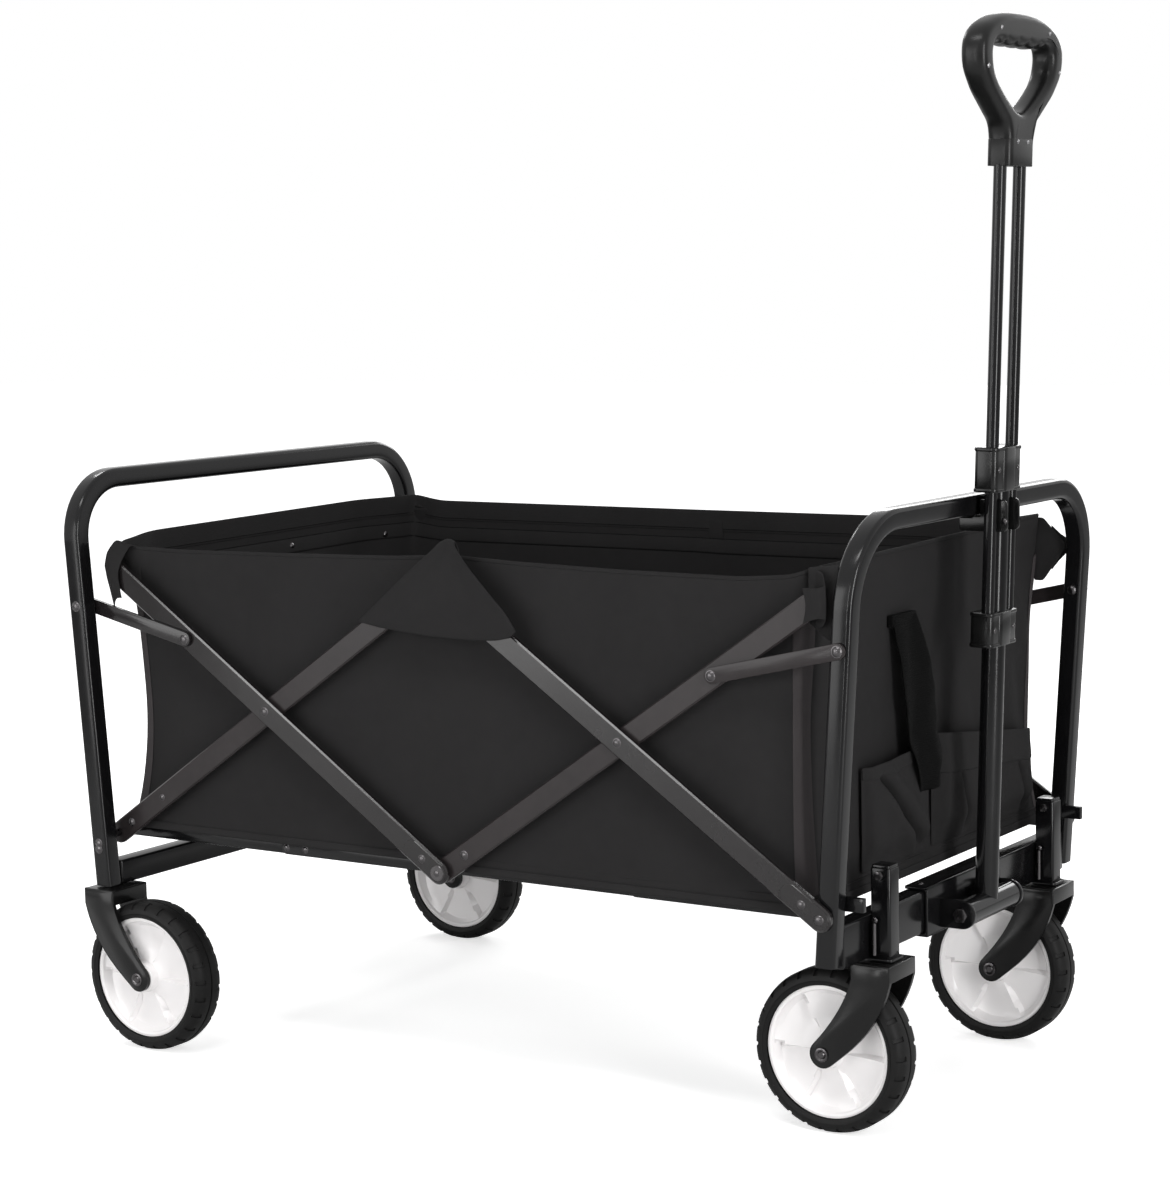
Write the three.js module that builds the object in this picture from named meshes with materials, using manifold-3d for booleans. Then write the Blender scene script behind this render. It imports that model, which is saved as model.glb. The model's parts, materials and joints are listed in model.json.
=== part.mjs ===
// A folding utility wagon: two inverted-U end frames joined by scissor bars on each side, a fabric
// basket between them, fixed rear wheels, swivelling front wheels and a telescopic pull handle.
// Millimetres, +Z up, +X towards the handle, so the left side is +Y and the right side is -Y.
import * as THREE from 'three';
import { mergeVertices } from 'three/addons/utils/BufferGeometryUtils.js';
import Module from 'manifold-3d';

const wasm = await Module();
wasm.setup();

// ---------------------------------------------------------------- driving dimensions
const gap = 0.3; // between pieces that touch

// wheels
const wheelRadius = 77;
const wheelSides = 24;
const tyreWidth = 38;
const tyreDepth = 17; // radial
const tyreShoulder = 5;
const hubRimWidth = 32;
const hubRimDepth = 6;
const hubWebThickness = 12;
const hubBossRadius = 15;
const hubBossLength = 41;
const axleRadius = 5;
const axleHeadRadius = 7.5;
const axleHeadHeight = 2.4;

// forks
const forkPlate = 4;
const forkInnerWidth = 43;
const forkTopBack = 22; // from the kingpin's axis
const forkTopFront = 17;
const forkSkirt = 16;
const forkEyeRadius = 13;
const forkTrail = 52;
const forkTopAboveWheel = 12;
const forkBackCurve = { x: 9, z: 42 }; // from the corner below the top, and above the eye
const forkFrontCurve = { x: 11, z: 27 };
const rearForkInset = 7; // inwards of the upright's middle

// front casters
const casterAhead = 19.6; // of the foot pivots
const casterInset = 71; // of the middle of the front upright
const postSize = 20;
const postCorner = 2.5;
const postHeight = 88;
const postBoltDrop = 9;
const postBoltProud = 4;
const kingpinRadius = 6;
const kingpinReach = 56;
const kingpinHead = 3; // both its height and how far it stands out

// scissor bars and what they hang on
const footAboveForks = 52; // the lower pivots
const halfSpan = 415; // from the middle hub to a frame's foot pivot
const topRise = 284; // from the lower pivots to the bar tops
const foldTurnDegrees = 40;
const barWidth = 22.5;
const barThickness = 6.3;
const barFreeEnd = 4; // how far a free top end stops short of its basket corner
const pinRadius = 4;
const pinClearance = 0.4;
const rivetHeadRadius = 6;
const rivetHeadHeight = 2;

// end frames
const tubeSize = 20;
const tubeCorner = 4;
const bendSteps = 5;
const frontHalfWidth = 249; // to the middle of the upright
const frontFootOffset = 3; // upright's middle in front of its foot pivot
const frontLean = 0.065;
const frontTopRise = 62.6; // the frame's top above the bar tops
const frontBend = 75;
const frontFootDrop = 45; // the upright's end below its foot pivot
const rearFootOffset = 1;
const rearLean = 0.07;
const rearTopRise = 82.3;
const rearBend = 62;
const frontCrossDepth = 20;
const frontCrossHeight = 40;
const frontCrossDrop = 50; // its underside below the foot pivots
const rearCrossDepth = 20;
const rearCrossHeight = 25;
const hookReach = 17;
const hookHeight = 13;
const hookThickness = 5;
const hookAboveFoot = 4;

// corner links, from each upright to an upper bar
const linkReach = 131.8; // along the bar, from its top end
const linkWidth = 15;
const linkThickness = 3.6;
const linkPinRadius = 3.2;

// folding floor rails
const railHeight = 14;
const railThickness = 2.7;
const railPinRadius = 3;

// basket
const basketRearInset = 3; // from the foot pivots
const basketFrontInset = 17;
const basketFloorAboveFoot = 12;
const basketTopMargin = 9; // above the bar tops, less the floor's height above the feet
const clothThickness = 3;
const matThickness = 6;
const matEdgeGap = 4;
const pocketDepth = 16;
const pocketHeight = 90;
const pocketAboveFloor = 14;
const rightPocketWidth = 112;
const rightPocketMiddle = -96;
const leftPocketWidth = 190;
const leftPocketMiddle = 98;
const strapWidth = 45;
const strapMiddle = -68;
const strapThickness = 4;
const strapDrop = 60; // below the basket's rim
const strapLength = 128;

// pull handle
const handlePivotAhead = 35.4; // of the foot pivots
const handlePivotDrop = 35; // below the foot pivots
const handleLean = 0.0335; // radians, top towards the front
const handleTubeRadius = 11;
const handleTubeInCollar = 40;
const sleeveRadius = 12.5;
const sleeveLength = 100;
const pivotBoltRadius = 5;
const pivotBoltHeadRadius = 8;
const pivotBoltHead = 4;
const bracketPlate = 3.5;
const bracketHalfWidth = 80;
const earThickness = 4;
const earReach = 14; // beyond the pivot bolt
const rodRadius = 6;
const rodSpacing = 42;
const rodForward = 3;
const collarWall = 2.5;
const collarHalfWidth = 29;
const topCollarRise = 12.4; // above the middle of the front frame's top
const topCollarHeight = 42;
const slideCollarDrop = 145; // below the top collar
const slideCollarHeight = 33;
const rodsShown = 256; // from the top collar to the grip
const gripNeckHeight = 40;
const gripNeckWidth = 52;
const gripThickness = 25;
const gripWidth = 166;
const gripHeight = 101;
const gripLimb = 23;
const gripBar = 31;
const gripRound = 7;
const rodSeat = 30; // rod length held in the grip's neck
const clipArm = 3;
const clipReach = 28; // in front of the frame tube
const clipDrop = 14; // below the frame tube
const clipRise = 5; // above the middle of the frame tube
const clipSaddleFront = 5; // in front of the middle of the frame tube

// ---------------------------------------------------------------- derived sizes
const forkTop = 2 * wheelRadius + forkTopAboveWheel;
const footHeight = forkTop + footAboveForks;
const casterX = halfSpan + casterAhead;
const casterY = frontHalfWidth - casterInset;
const frontFootBottom = footHeight - frontFootDrop;
const frontCrossBottom = footHeight - frontCrossDrop;
const handlePivotHeight = footHeight - handlePivotDrop;
const handlePivotX = halfSpan + handlePivotAhead;
const basketRear = halfSpan - basketRearInset;
const basketFront = halfSpan - basketFrontInset;
const basketHeight = topRise + basketTopMargin;
const frontTopHeight = footHeight + topRise + frontTopRise;
const rearTopHeight = footHeight + topRise + rearTopRise;
const topCollarBottom = frontTopHeight - handlePivotHeight + topCollarRise;
const slideCollarBottom = topCollarBottom - slideCollarDrop;
const handleTubeLength = topCollarBottom + handleTubeInCollar;
const gripNeckBottom = topCollarBottom + topCollarHeight + rodsShown;
const openAngle = Math.atan2(topRise, halfSpan);
const foldedAngle = openAngle + THREE.MathUtils.degToRad(foldTurnDegrees);
const barLength = Math.hypot(halfSpan, topRise);
const barEnd = barWidth / 2;
const frontFaceY = frontHalfWidth + tubeSize / 2; // outer face of a front upright
const outerBar = { inner: frontFaceY + gap, outer: frontFaceY + gap + barThickness };
const innerBar = { inner: outerBar.inner - gap - barThickness, outer: outerBar.inner - gap };
const frontLinkLane = { inner: outerBar.inner, outer: outerBar.inner + linkThickness };
const rearLinkLane = { inner: outerBar.outer + gap, outer: outerBar.outer + gap + linkThickness };
const rearInnerFaceY = rearLinkLane.outer + gap;
const rearHalfWidth = rearInnerFaceY + tubeSize / 2;
const frontInnerFaceY = frontHalfWidth - tubeSize / 2;
const outerRail = { inner: frontInnerFaceY - gap - railThickness, outer: frontInnerFaceY - gap };
const innerRail = { inner: outerRail.inner - gap - railThickness, outer: outerRail.inner - gap };
const railLength = halfSpan / 2;
const basketHalfWidth = innerBar.inner - gap;
const basketFloor = footHeight + basketFloorAboveFoot;
const forkHalfWidth = forkInnerWidth / 2 + forkPlate;
const frontX = (z) => halfSpan + frontFootOffset + frontLean * (z - footHeight);
const rearX = (z) => -(halfSpan + rearFootOffset + rearLean * (z - footHeight));
const rearForkX = rearX(forkTop);
const rearForkY = rearHalfWidth - rearForkInset;
const frontCrossX = casterX - postSize / 2 - gap - frontCrossDepth / 2;

// The link's height on its upright is set so that the link fits both with the wagon open and folded.
function linkHeight(xAt) {
  const open = barPoint(linkReach, openAngle);
  const folded = barPoint(linkReach, foldedAngle);
  let height = open.z;
  for (let i = 0; i < 8; i += 1) {
    const x = Math.abs(xAt(height));
    const spread = (x - open.x) ** 2 - (x - folded.x) ** 2;
    height = (open.z + folded.z) / 2 - spread / (2 * (folded.z - open.z));
  }
  return height;
}

// A point on an upper bar, at a distance from its top end, on the front half of the wagon.
function barPoint(reach, angle) {
  const x = halfSpan - reach * Math.cos(angle);
  return { x, z: footHeight + (barLength - reach) * Math.sin(angle) };
}

// ---------------------------------------------------------------- materials
const material = (color, roughness, metalness) => (
  new THREE.MeshStandardMaterial({ color, roughness, metalness })
);
const blackTube = material(0x151515, 0.3, 0.2);
const greyBar = material(0x3c3838, 0.4, 0.3);
const blackPlastic = material(0x1c1c1c, 0.45, 0);
const tyreRubber = material(0x181818, 0.8, 0);
const whitePlastic = material(0xe8e6e6, 0.35, 0);
const steel = material(0x8a8a8c, 0.3, 0.9);
const cloth = material(0x1f1f1f, 0.95, 0);

// ---------------------------------------------------------------- geometry helpers
function toSolid(geometry) {
  const bare = geometry.clone();
  bare.deleteAttribute('normal');
  bare.deleteAttribute('uv');
  const merged = mergeVertices(bare, 1e-4);
  return new wasm.Manifold(new wasm.Mesh({
    numProp: 3,
    vertProperties: new Float32Array(merged.attributes.position.array),
    triVerts: new Uint32Array(merged.index.array),
  }));
}

function toGeometry(solid) {
  const found = solid.getMesh();
  const geometry = new THREE.BufferGeometry();
  geometry.setAttribute('position', new THREE.BufferAttribute(found.vertProperties, 3));
  geometry.setIndex(new THREE.BufferAttribute(found.triVerts, 1));
  geometry.computeVertexNormals();
  return geometry;
}

// Joins the added geometries, then takes the removed ones away.
function combine(added, removed = []) {
  let solid = toSolid(added[0]);
  for (const geometry of added.slice(1)) {
    solid = solid.add(toSolid(geometry));
  }
  for (const geometry of removed) {
    solid = solid.subtract(toSolid(geometry));
  }
  return toGeometry(solid);
}

function box(xs, ys, zs) {
  const geometry = new THREE.BoxGeometry(xs[1] - xs[0], ys[1] - ys[0], zs[1] - zs[0]);
  return geometry.translate((xs[0] + xs[1]) / 2, (ys[0] + ys[1]) / 2, (zs[0] + zs[1]) / 2);
}

function rodY(radius, from, to, x = 0, z = 0, sides = 12) {
  const geometry = new THREE.CylinderGeometry(radius, radius, Math.abs(to - from), sides);
  return geometry.translate(x, (from + to) / 2, z);
}

function rodZ(radius, from, to, x = 0, y = 0, sides = 16) {
  const geometry = new THREE.CylinderGeometry(radius, radius, to - from, sides);
  return geometry.rotateX(Math.PI / 2).translate(x, y, (from + to) / 2);
}

// A plate whose outline lies in the XZ plane, filling a lane of Y on one side of the wagon.
function plate(shape, lane, side, curveSegments = 4) {
  const depth = lane.outer - lane.inner;
  const geometry = new THREE.ExtrudeGeometry(shape, { depth, bevelEnabled: false, curveSegments });
  return geometry.rotateX(Math.PI / 2).translate(0, side < 0 ? -lane.inner : lane.outer, 0);
}

// A bar outline along +X with round ends of the bar's width.
function barShape(from, to, width) {
  const half = width / 2;
  const shape = new THREE.Shape();
  shape.moveTo(from, -half);
  shape.lineTo(to, -half);
  shape.absarc(to, 0, half, -Math.PI / 2, Math.PI / 2, false);
  shape.lineTo(from, half);
  shape.absarc(from, 0, half, Math.PI / 2, Math.PI * 1.5, false);
  return shape;
}

function roundedRectangle(width, height, radius) {
  const [w, h] = [width / 2, height / 2];
  const shape = new THREE.Shape();
  shape.moveTo(-w + radius, -h);
  shape.lineTo(w - radius, -h);
  shape.absarc(w - radius, -h + radius, radius, -Math.PI / 2, 0, false);
  shape.lineTo(w, h - radius);
  shape.absarc(w - radius, h - radius, radius, 0, Math.PI / 2, false);
  shape.lineTo(-w + radius, h);
  shape.absarc(-w + radius, h - radius, radius, Math.PI / 2, Math.PI, false);
  shape.lineTo(-w, -h + radius);
  shape.absarc(-w + radius, -h + radius, radius, Math.PI, Math.PI * 1.5, false);
  return shape;
}

// Sweeps a section along a path in a plane; the section's first axis stays on the plane's normal.
function sweep(section, path, normal) {
  const outline = section.getPoints(1);
  outline.pop();
  const positions = [];
  const index = [];
  const count = outline.length;
  path.forEach((point, i) => {
    const before = path[Math.max(i - 1, 0)];
    const after = path[Math.min(i + 1, path.length - 1)];
    const tangent = after.clone().sub(before).normalize();
    const across = tangent.clone().cross(normal).normalize();
    for (const { x, y } of outline) {
      const vertex = point.clone().addScaledVector(normal, x).addScaledVector(across, y);
      positions.push(...vertex.toArray());
    }
  });
  for (let i = 0; i < path.length - 1; i += 1) {
    for (let j = 0; j < count; j += 1) {
      const [a, b] = [i * count + j, i * count + ((j + 1) % count)];
      index.push(a, b, b + count, a, b + count, a + count);
    }
  }
  const caps = THREE.ShapeUtils.triangulateShape(outline, []);
  const last = (path.length - 1) * count;
  for (const [a, b, c] of caps) {
    index.push(a, c, b, last + a, last + b, last + c);
  }
  const geometry = new THREE.BufferGeometry();
  geometry.setAttribute('position', new THREE.Float32BufferAttribute(positions, 3));
  geometry.setIndex(index);
  return geometry;
}

const wagon = new THREE.Group();

function addMesh(name, geometry, look, parent = wagon) {
  const mesh = new THREE.Mesh(geometry, look);
  mesh.name = name;
  parent.add(mesh);
  return mesh;
}

const sides = [['right', -1], ['left', 1]];

// ---------------------------------------------------------------- end frames
// The centreline of an inverted U, from its right foot over the top to its left foot.
function framePath(xAt, halfWidth, bottom, top, bend) {
  const point = (y, z) => new THREE.Vector3(xAt(z), y, z);
  const path = [point(-halfWidth, bottom)];
  for (const [side, start] of [[-1, Math.PI], [1, Math.PI / 2]]) {
    for (let step = 0; step <= bendSteps; step += 1) {
      const turn = start - (step / bendSteps) * (Math.PI / 2);
      const y = side * (halfWidth - bend) + bend * Math.cos(turn);
      path.push(point(y, top - bend + bend * Math.sin(turn)));
    }
  }
  path.push(point(halfWidth, bottom));
  return path;
}

function frameTube(xAt, halfWidth, bottom, top, bend) {
  const normal = new THREE.Vector3(1, 0, -(xAt(1) - xAt(0))).normalize();
  const section = roundedRectangle(tubeSize, tubeSize, tubeCorner);
  return sweep(section, framePath(xAt, halfWidth, bottom, top, bend), normal);
}

// A foot pin from an inner rivet head to an outer one, fixed in the frame's upright.
function footPin(x, side, from, to) {
  const inner = side * from;
  const outer = side * to;
  return [
    rodY(pinRadius, inner, outer, x, footHeight),
    rodY(rivetHeadRadius, inner, side * (from - rivetHeadHeight), x, footHeight),
    rodY(rivetHeadRadius, outer, side * (to + rivetHeadHeight), x, footHeight),
  ];
}

function linkHole(x, z, halfWidth, side) {
  const reach = tubeSize / 2 + 1;
  const [from, to] = [side * (halfWidth - reach), side * (halfWidth + reach)];
  return rodY(linkPinRadius + pinClearance, from, to, x, z);
}

function frontFrameTube() {
  const added = [frameTube(frontX, frontHalfWidth, frontFootBottom, frontTopHeight, frontBend)];
  const removed = [];
  const height = linkHeight(frontX);
  const hookBottom = footHeight + hookAboveFoot;
  const hookX = frontX(hookBottom) + tubeSize / 2;
  for (const [, side] of sides) {
    added.push(...footPin(halfSpan, side, innerRail.outer - gap, outerBar.outer + gap));
    removed.push(linkHole(frontX(height), height, frontHalfWidth, side));
    const inner = side * (frontInnerFaceY - hookThickness);
    const outer = side * (frontInnerFaceY + 1);
    const ys = [Math.min(inner, outer), Math.max(inner, outer)];
    added.push(box([hookX - tubeCorner, hookX + hookReach], ys, [hookBottom, hookBottom + hookHeight]));
  }
  return combine(added, removed);
}

function rearFrameTube() {
  // the upright's end is square to its lean, so its lower corner is what stands on the fork
  const bottom = forkTop + gap + (rearLean * tubeSize) / 2;
  const added = [frameTube(rearX, rearHalfWidth, bottom, rearTopHeight, rearBend)];
  const removed = [];
  const height = linkHeight(rearX);
  for (const [, side] of sides) {
    added.push(...footPin(-halfSpan, side, innerRail.inner - gap, rearHalfWidth + tubeSize / 2));
    removed.push(linkHole(rearX(height), height, rearHalfWidth, side));
  }
  return combine(added, removed);
}

function frontCrossTube() {
  const end = frontInnerFaceY - gap;
  const section = roundedRectangle(frontCrossDepth, frontCrossHeight, postCorner);
  const path = [new THREE.Vector3(0, -end, 0), new THREE.Vector3(0, end, 0)];
  const z = frontCrossBottom + frontCrossHeight / 2;
  return sweep(section, path, new THREE.Vector3(1, 0, 0)).translate(frontCrossX, 0, z);
}

function rearCrossTube() {
  const end = rearInnerFaceY - gap;
  const section = roundedRectangle(rearCrossDepth, rearCrossHeight, postCorner);
  const path = [new THREE.Vector3(0, -end, 0), new THREE.Vector3(0, end, 0)];
  const z = forkTop + gap + rearCrossHeight / 2;
  return sweep(section, path, new THREE.Vector3(1, 0, 0)).translate(rearX(z), 0, z);
}

addMesh('front_frame_tube', frontFrameTube(), blackTube);
addMesh('rear_frame_tube', rearFrameTube(), blackTube);
addMesh('front_cross_tube', combine([frontCrossTube()]), blackTube);
addMesh('rear_cross_tube', combine([rearCrossTube()]), blackTube);

// ---------------------------------------------------------------- wheels, forks and casters
// A fork's side plate: level on top, leaning down and back to a round eye for the axle.
function forkSideShape() {
  const eyeX = -forkTrail;
  const eyeZ = wheelRadius - forkTop;
  const shape = new THREE.Shape();
  shape.moveTo(-forkTopBack, 0);
  shape.lineTo(-forkTopBack, -forkSkirt);
  shape.quadraticCurveTo(
    -forkTopBack - forkBackCurve.x, eyeZ + forkBackCurve.z,
    eyeX - forkEyeRadius * Math.SQRT1_2, eyeZ + forkEyeRadius * Math.SQRT1_2,
  );
  shape.absarc(eyeX, eyeZ, forkEyeRadius, Math.PI * 0.75, Math.PI * 1.8, false);
  shape.quadraticCurveTo(
    forkTopFront - forkFrontCurve.x, eyeZ + forkFrontCurve.z,
    forkTopFront, -forkSkirt,
  );
  shape.lineTo(forkTopFront, 0);
  return shape;
}

function fork(stemHole) {
  const inner = forkInnerWidth / 2;
  const lane = { inner, outer: forkHalfWidth };
  const top = box(
    [-forkTopBack, forkTopFront],
    [-forkHalfWidth, forkHalfWidth],
    [-forkPlate, 0],
  );
  const added = [top];
  for (const [, side] of sides) {
    added.push(plate(forkSideShape(), lane, side));
  }
  const reach = forkHalfWidth + 1;
  const eye = rodY(axleRadius + gap, -reach, reach, -forkTrail, wheelRadius - forkTop);
  const removed = [eye];
  if (stemHole) {
    removed.push(rodZ(kingpinRadius + gap, -forkPlate - 1, 1));
  }
  return combine(added, removed);
}

function tyre() {
  const [r, w, s] = [wheelRadius, tyreWidth / 2, tyreShoulder];
  const inner = r - tyreDepth;
  const profile = [
    [inner, -w + 1], [r - 2 * s, -w], [r - s / 3, -w + s], [r, -w + 2.4 * s],
    [r, w - 2.4 * s], [r - s / 3, w - s], [r - 2 * s, w], [inner, w - 1], [inner, -w + 1],
  ];
  return new THREE.LatheGeometry(profile.map(([x, y]) => new THREE.Vector2(x, y)), wheelSides);
}

function hub() {
  const outer = wheelRadius - tyreDepth - gap;
  const rim = outer - hubRimDepth;
  const [bore, boss] = [axleRadius + gap, hubBossRadius];
  const [rimHalf, webHalf, bossHalf] = [hubRimWidth / 2, hubWebThickness / 2, hubBossLength / 2];
  const profile = [
    [bore, -bossHalf], [boss, -bossHalf], [rim, -webHalf], [rim, -rimHalf], [outer, -rimHalf],
    [outer, rimHalf], [rim, rimHalf], [rim, webHalf], [boss, bossHalf], [bore, bossHalf],
    [bore, -bossHalf],
  ];
  return new THREE.LatheGeometry(profile.map(([x, y]) => new THREE.Vector2(x, y)), wheelSides);
}

function axle() {
  const reach = forkHalfWidth + gap;
  return combine([
    rodY(axleRadius, -reach, reach),
    rodY(axleHeadRadius, -reach - axleHeadHeight, -reach),
    rodY(axleHeadRadius, reach, reach + axleHeadHeight),
  ]);
}

// A fork with its wheel and axle, standing under (x, y).
function addWheelSet(place, x, y, swivels) {
  const set = new THREE.Group();
  set.position.set(x, y, forkTop);
  wagon.add(set);
  // the rear forks reach forwards, and the front ones trail behind their kingpins
  set.rotation.z = swivels ? 0 : Math.PI;
  addMesh(`${place}_fork`, fork(swivels), blackTube, set);
  const turning = [
    ['tyre', combine([tyre()]), tyreRubber],
    ['hub', combine([hub()]), whitePlastic],
    ['axle', axle(), steel],
  ];
  for (const [name, geometry, look] of turning) {
    const mesh = addMesh(`${place}_${name}`, geometry, look, set);
    mesh.position.set(-forkTrail, 0, wheelRadius - forkTop);
  }
  return set;
}

function casterPost() {
  const section = roundedRectangle(postSize, postSize, postCorner);
  const path = [new THREE.Vector3(0, 0, 0), new THREE.Vector3(0, 0, postHeight)];
  const body = sweep(section, path, new THREE.Vector3(1, 0, 0));
  const boltReach = postSize / 2 + postBoltProud;
  const bolt = rodY(pinRadius, -boltReach, boltReach, 0, postHeight - postBoltDrop);
  const bore = rodZ(kingpinRadius + gap, -1, kingpinReach + gap);
  return combine([body, bolt], [bore]);
}

function kingpin() {
  const top = -forkPlate - gap;
  const head = rodZ(kingpinRadius + kingpinHead, top - kingpinHead, top);
  return combine([rodZ(kingpinRadius, top - 1, kingpinReach), head]);
}

for (const [name, side] of sides) {
  const caster = addWheelSet(`front_${name}`, casterX, side * casterY, true);
  addMesh(`kingpin_${name}`, kingpin(), steel, caster);
  const post = addMesh(`caster_post_${name}`, casterPost(), blackTube);
  post.position.set(casterX, side * casterY, forkTop + gap);
  addWheelSet(`rear_${name}`, rearForkX, side * rearForkY, false);
}

// ---------------------------------------------------------------- scissor bars
const pinHole = (x, lane, side) => (
  rodY(pinRadius + pinClearance, side * (lane.inner - 1), side * (lane.outer + 1), x, 0)
);

// A pin fixed in an outer bar: a rivet head outside, and a shank that reaches inwards.
function barPin(x, side, innerEnd) {
  return [
    rodY(pinRadius, side * innerEnd, side * outerBar.outer, x, 0),
    rodY(rivetHeadRadius, side * outerBar.outer, side * (outerBar.outer + rivetHeadHeight), x, 0),
  ];
}

// Places a bar that was drawn along +X from its pivot, at an angle above the horizontal.
function addBar(name, geometry, look, x, angle) {
  const bar = addMesh(name, geometry, look);
  bar.position.set(x, 0, footHeight);
  bar.rotation.y = -angle;
  return bar;
}

for (const [name, side] of sides) {
  const half = barLength / 2;
  const full = barShape(0, barLength, barWidth);
  const short = barShape(0, barLength - barFreeEnd - barEnd, barWidth);
  const crossingPin = barPin(half, side, innerBar.inner);
  const topPin = barPin(barLength, side, innerBar.inner);
  const hubPin = barPin(0, side, innerRail.inner);
  const frontLower = combine(
    [plate(full, outerBar, side), ...crossingPin, ...topPin],
    [pinHole(0, outerBar, side)],
  );
  const frontUpper = combine(
    [plate(short, innerBar, side)],
    [pinHole(0, innerBar, side), pinHole(half, innerBar, side)],
  );
  const rearUpper = combine([plate(short, outerBar, side), ...hubPin, ...crossingPin]);
  const rearLower = combine(
    [plate(full, innerBar, side)],
    [0, half, barLength].map((x) => pinHole(x, innerBar, side)),
  );
  addBar(`bar_front_lower_${name}`, frontLower, blackTube, halfSpan, Math.PI - openAngle);
  addBar(`bar_front_upper_${name}`, frontUpper, greyBar, 0, openAngle);
  addBar(`bar_rear_upper_${name}`, rearUpper, blackTube, 0, Math.PI - openAngle);
  addBar(`bar_rear_lower_${name}`, rearLower, greyBar, -halfSpan, openAngle);
}

// ---------------------------------------------------------------- corner links
// A link drawn along +X from its pin in the upright to its eye on the bar. The pin leaves the lane
// at pinStart, runs through the upright and ends in a rivet head past pinEnd.
function link(lane, side, length, pinStart, pinEnd) {
  const headEnd = pinEnd + Math.sign(pinEnd - pinStart) * rivetHeadHeight;
  return combine([
    plate(barShape(0, length, linkWidth), lane, side),
    rodY(linkPinRadius, side * pinStart, side * pinEnd),
    rodY(rivetHeadRadius, side * pinEnd, side * headEnd),
  ]);
}

for (const [name, side] of sides) {
  const eye = barPoint(linkReach, openAngle);
  for (const [end, xAt] of [['front', frontX], ['rear', rearX]]) {
    const z = linkHeight(xAt);
    const x = xAt(z);
    const isFront = end === 'front';
    const lane = isFront ? frontLinkLane : rearLinkLane;
    const dx = (isFront ? eye.x : -eye.x) - x;
    const dz = eye.z - z;
    const geometry = isFront
      ? link(lane, side, Math.hypot(dx, dz), lane.inner, frontInnerFaceY - gap)
      : link(lane, side, Math.hypot(dx, dz), lane.outer, rearInnerFaceY + tubeSize + gap);
    const mesh = addMesh(`corner_link_${end}_${name}`, geometry, greyBar);
    mesh.position.set(x, 0, z);
    mesh.rotation.y = -Math.atan2(dz, dx);
  }
}

// ---------------------------------------------------------------- folding floor rails
for (const [name, side] of sides) {
  const shape = barShape(0, railLength, railHeight);
  const hole = (lane, radius) => rodY(radius, side * (lane.inner - 1), side * (lane.outer + 1));
  const rail = (lane) => combine([plate(shape, lane, side)], [hole(lane, pinRadius + pinClearance)]);
  addBar(`rail_front_foot_${name}`, rail(outerRail), blackTube, halfSpan, Math.PI);
  addBar(`rail_front_hub_${name}`, rail(innerRail), blackTube, 0, 0);
  addBar(`rail_rear_hub_${name}`, rail(outerRail), blackTube, 0, Math.PI);
  addBar(`rail_rear_foot_${name}`, rail(innerRail), blackTube, -halfSpan, 0);
}

// ---------------------------------------------------------------- basket
function basket() {
  const [rear, front, half] = [-basketRear, basketFront, basketHalfWidth];
  const outer = box([rear, front], [-half, half], [basketFloor, basketFloor + basketHeight]);
  const t = clothThickness;
  const room = box(
    [rear + t, front - t],
    [-half + t, half - t],
    [basketFloor + t, basketFloor + basketHeight + t],
  );
  return combine([outer], [room]);
}

function floorMat() {
  const edge = clothThickness + matEdgeGap;
  const half = basketHalfWidth - edge;
  const bottom = basketFloor + clothThickness + gap;
  const xs = [-basketRear + edge, basketFront - edge];
  return combine([box(xs, [-half, half], [bottom, bottom + matThickness])]);
}

function pocket(middle, width) {
  const x = basketFront + gap;
  const bottom = basketFloor + pocketAboveFloor;
  const ys = [middle - width / 2, middle + width / 2];
  const t = clothThickness;
  const outer = box([x, x + pocketDepth], ys, [bottom, bottom + pocketHeight]);
  const room = box(
    [x + t, x + pocketDepth - t],
    [ys[0] + t, ys[1] - t],
    [bottom + t, bottom + pocketHeight + t],
  );
  return combine([outer], [room]);
}

function pullStrap() {
  const x = basketFront + gap;
  const top = basketFloor + basketHeight - strapDrop;
  const ys = [strapMiddle - strapWidth / 2, strapMiddle + strapWidth / 2];
  return combine([box([x, x + strapThickness], ys, [top - strapLength, top])]);
}

addMesh('basket', basket(), cloth);
addMesh('floor_mat', floorMat(), cloth);
addMesh('pocket_right', pocket(rightPocketMiddle, rightPocketWidth), cloth);
addMesh('pocket_left', pocket(leftPocketMiddle, leftPocketWidth), cloth);
addMesh('pull_strap', pullStrap(), cloth);

// ---------------------------------------------------------------- handle bracket and clip on the frame
// A channel round the cross tube, with two ears that hold the pivot bolt.
function handleBracket() {
  const t = bracketPlate;
  const [back, face] = [frontCrossX - frontCrossDepth / 2, frontCrossX + frontCrossDepth / 2 + gap];
  const [bottom, top] = [frontCrossBottom - gap, frontCrossBottom + frontCrossHeight + gap];
  const ys = [-bracketHalfWidth, bracketHalfWidth];
  const channel = box([back, face + t], ys, [bottom - t, top + t]);
  const room = box([back - 1, face], [ys[0] - 1, ys[1] + 1], [bottom, top]);
  const ear = new THREE.Shape();
  const low = handlePivotHeight - earReach;
  ear.moveTo(face + 1, low);
  ear.lineTo(handlePivotX, low);
  ear.absarc(handlePivotX, handlePivotHeight, earReach, -Math.PI / 2, Math.PI / 2, false);
  ear.lineTo(face + 1, handlePivotHeight + earReach);
  const lane = { inner: sleeveLength / 2 + gap, outer: sleeveLength / 2 + gap + earThickness };
  const ears = sides.map(([, side]) => plate(ear, lane, side));
  const boltReach = lane.outer + 1;
  const bolt = rodY(pivotBoltRadius + gap, -boltReach, boltReach, handlePivotX, handlePivotHeight);
  return combine([channel, ...ears], [room, bolt]);
}

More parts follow.
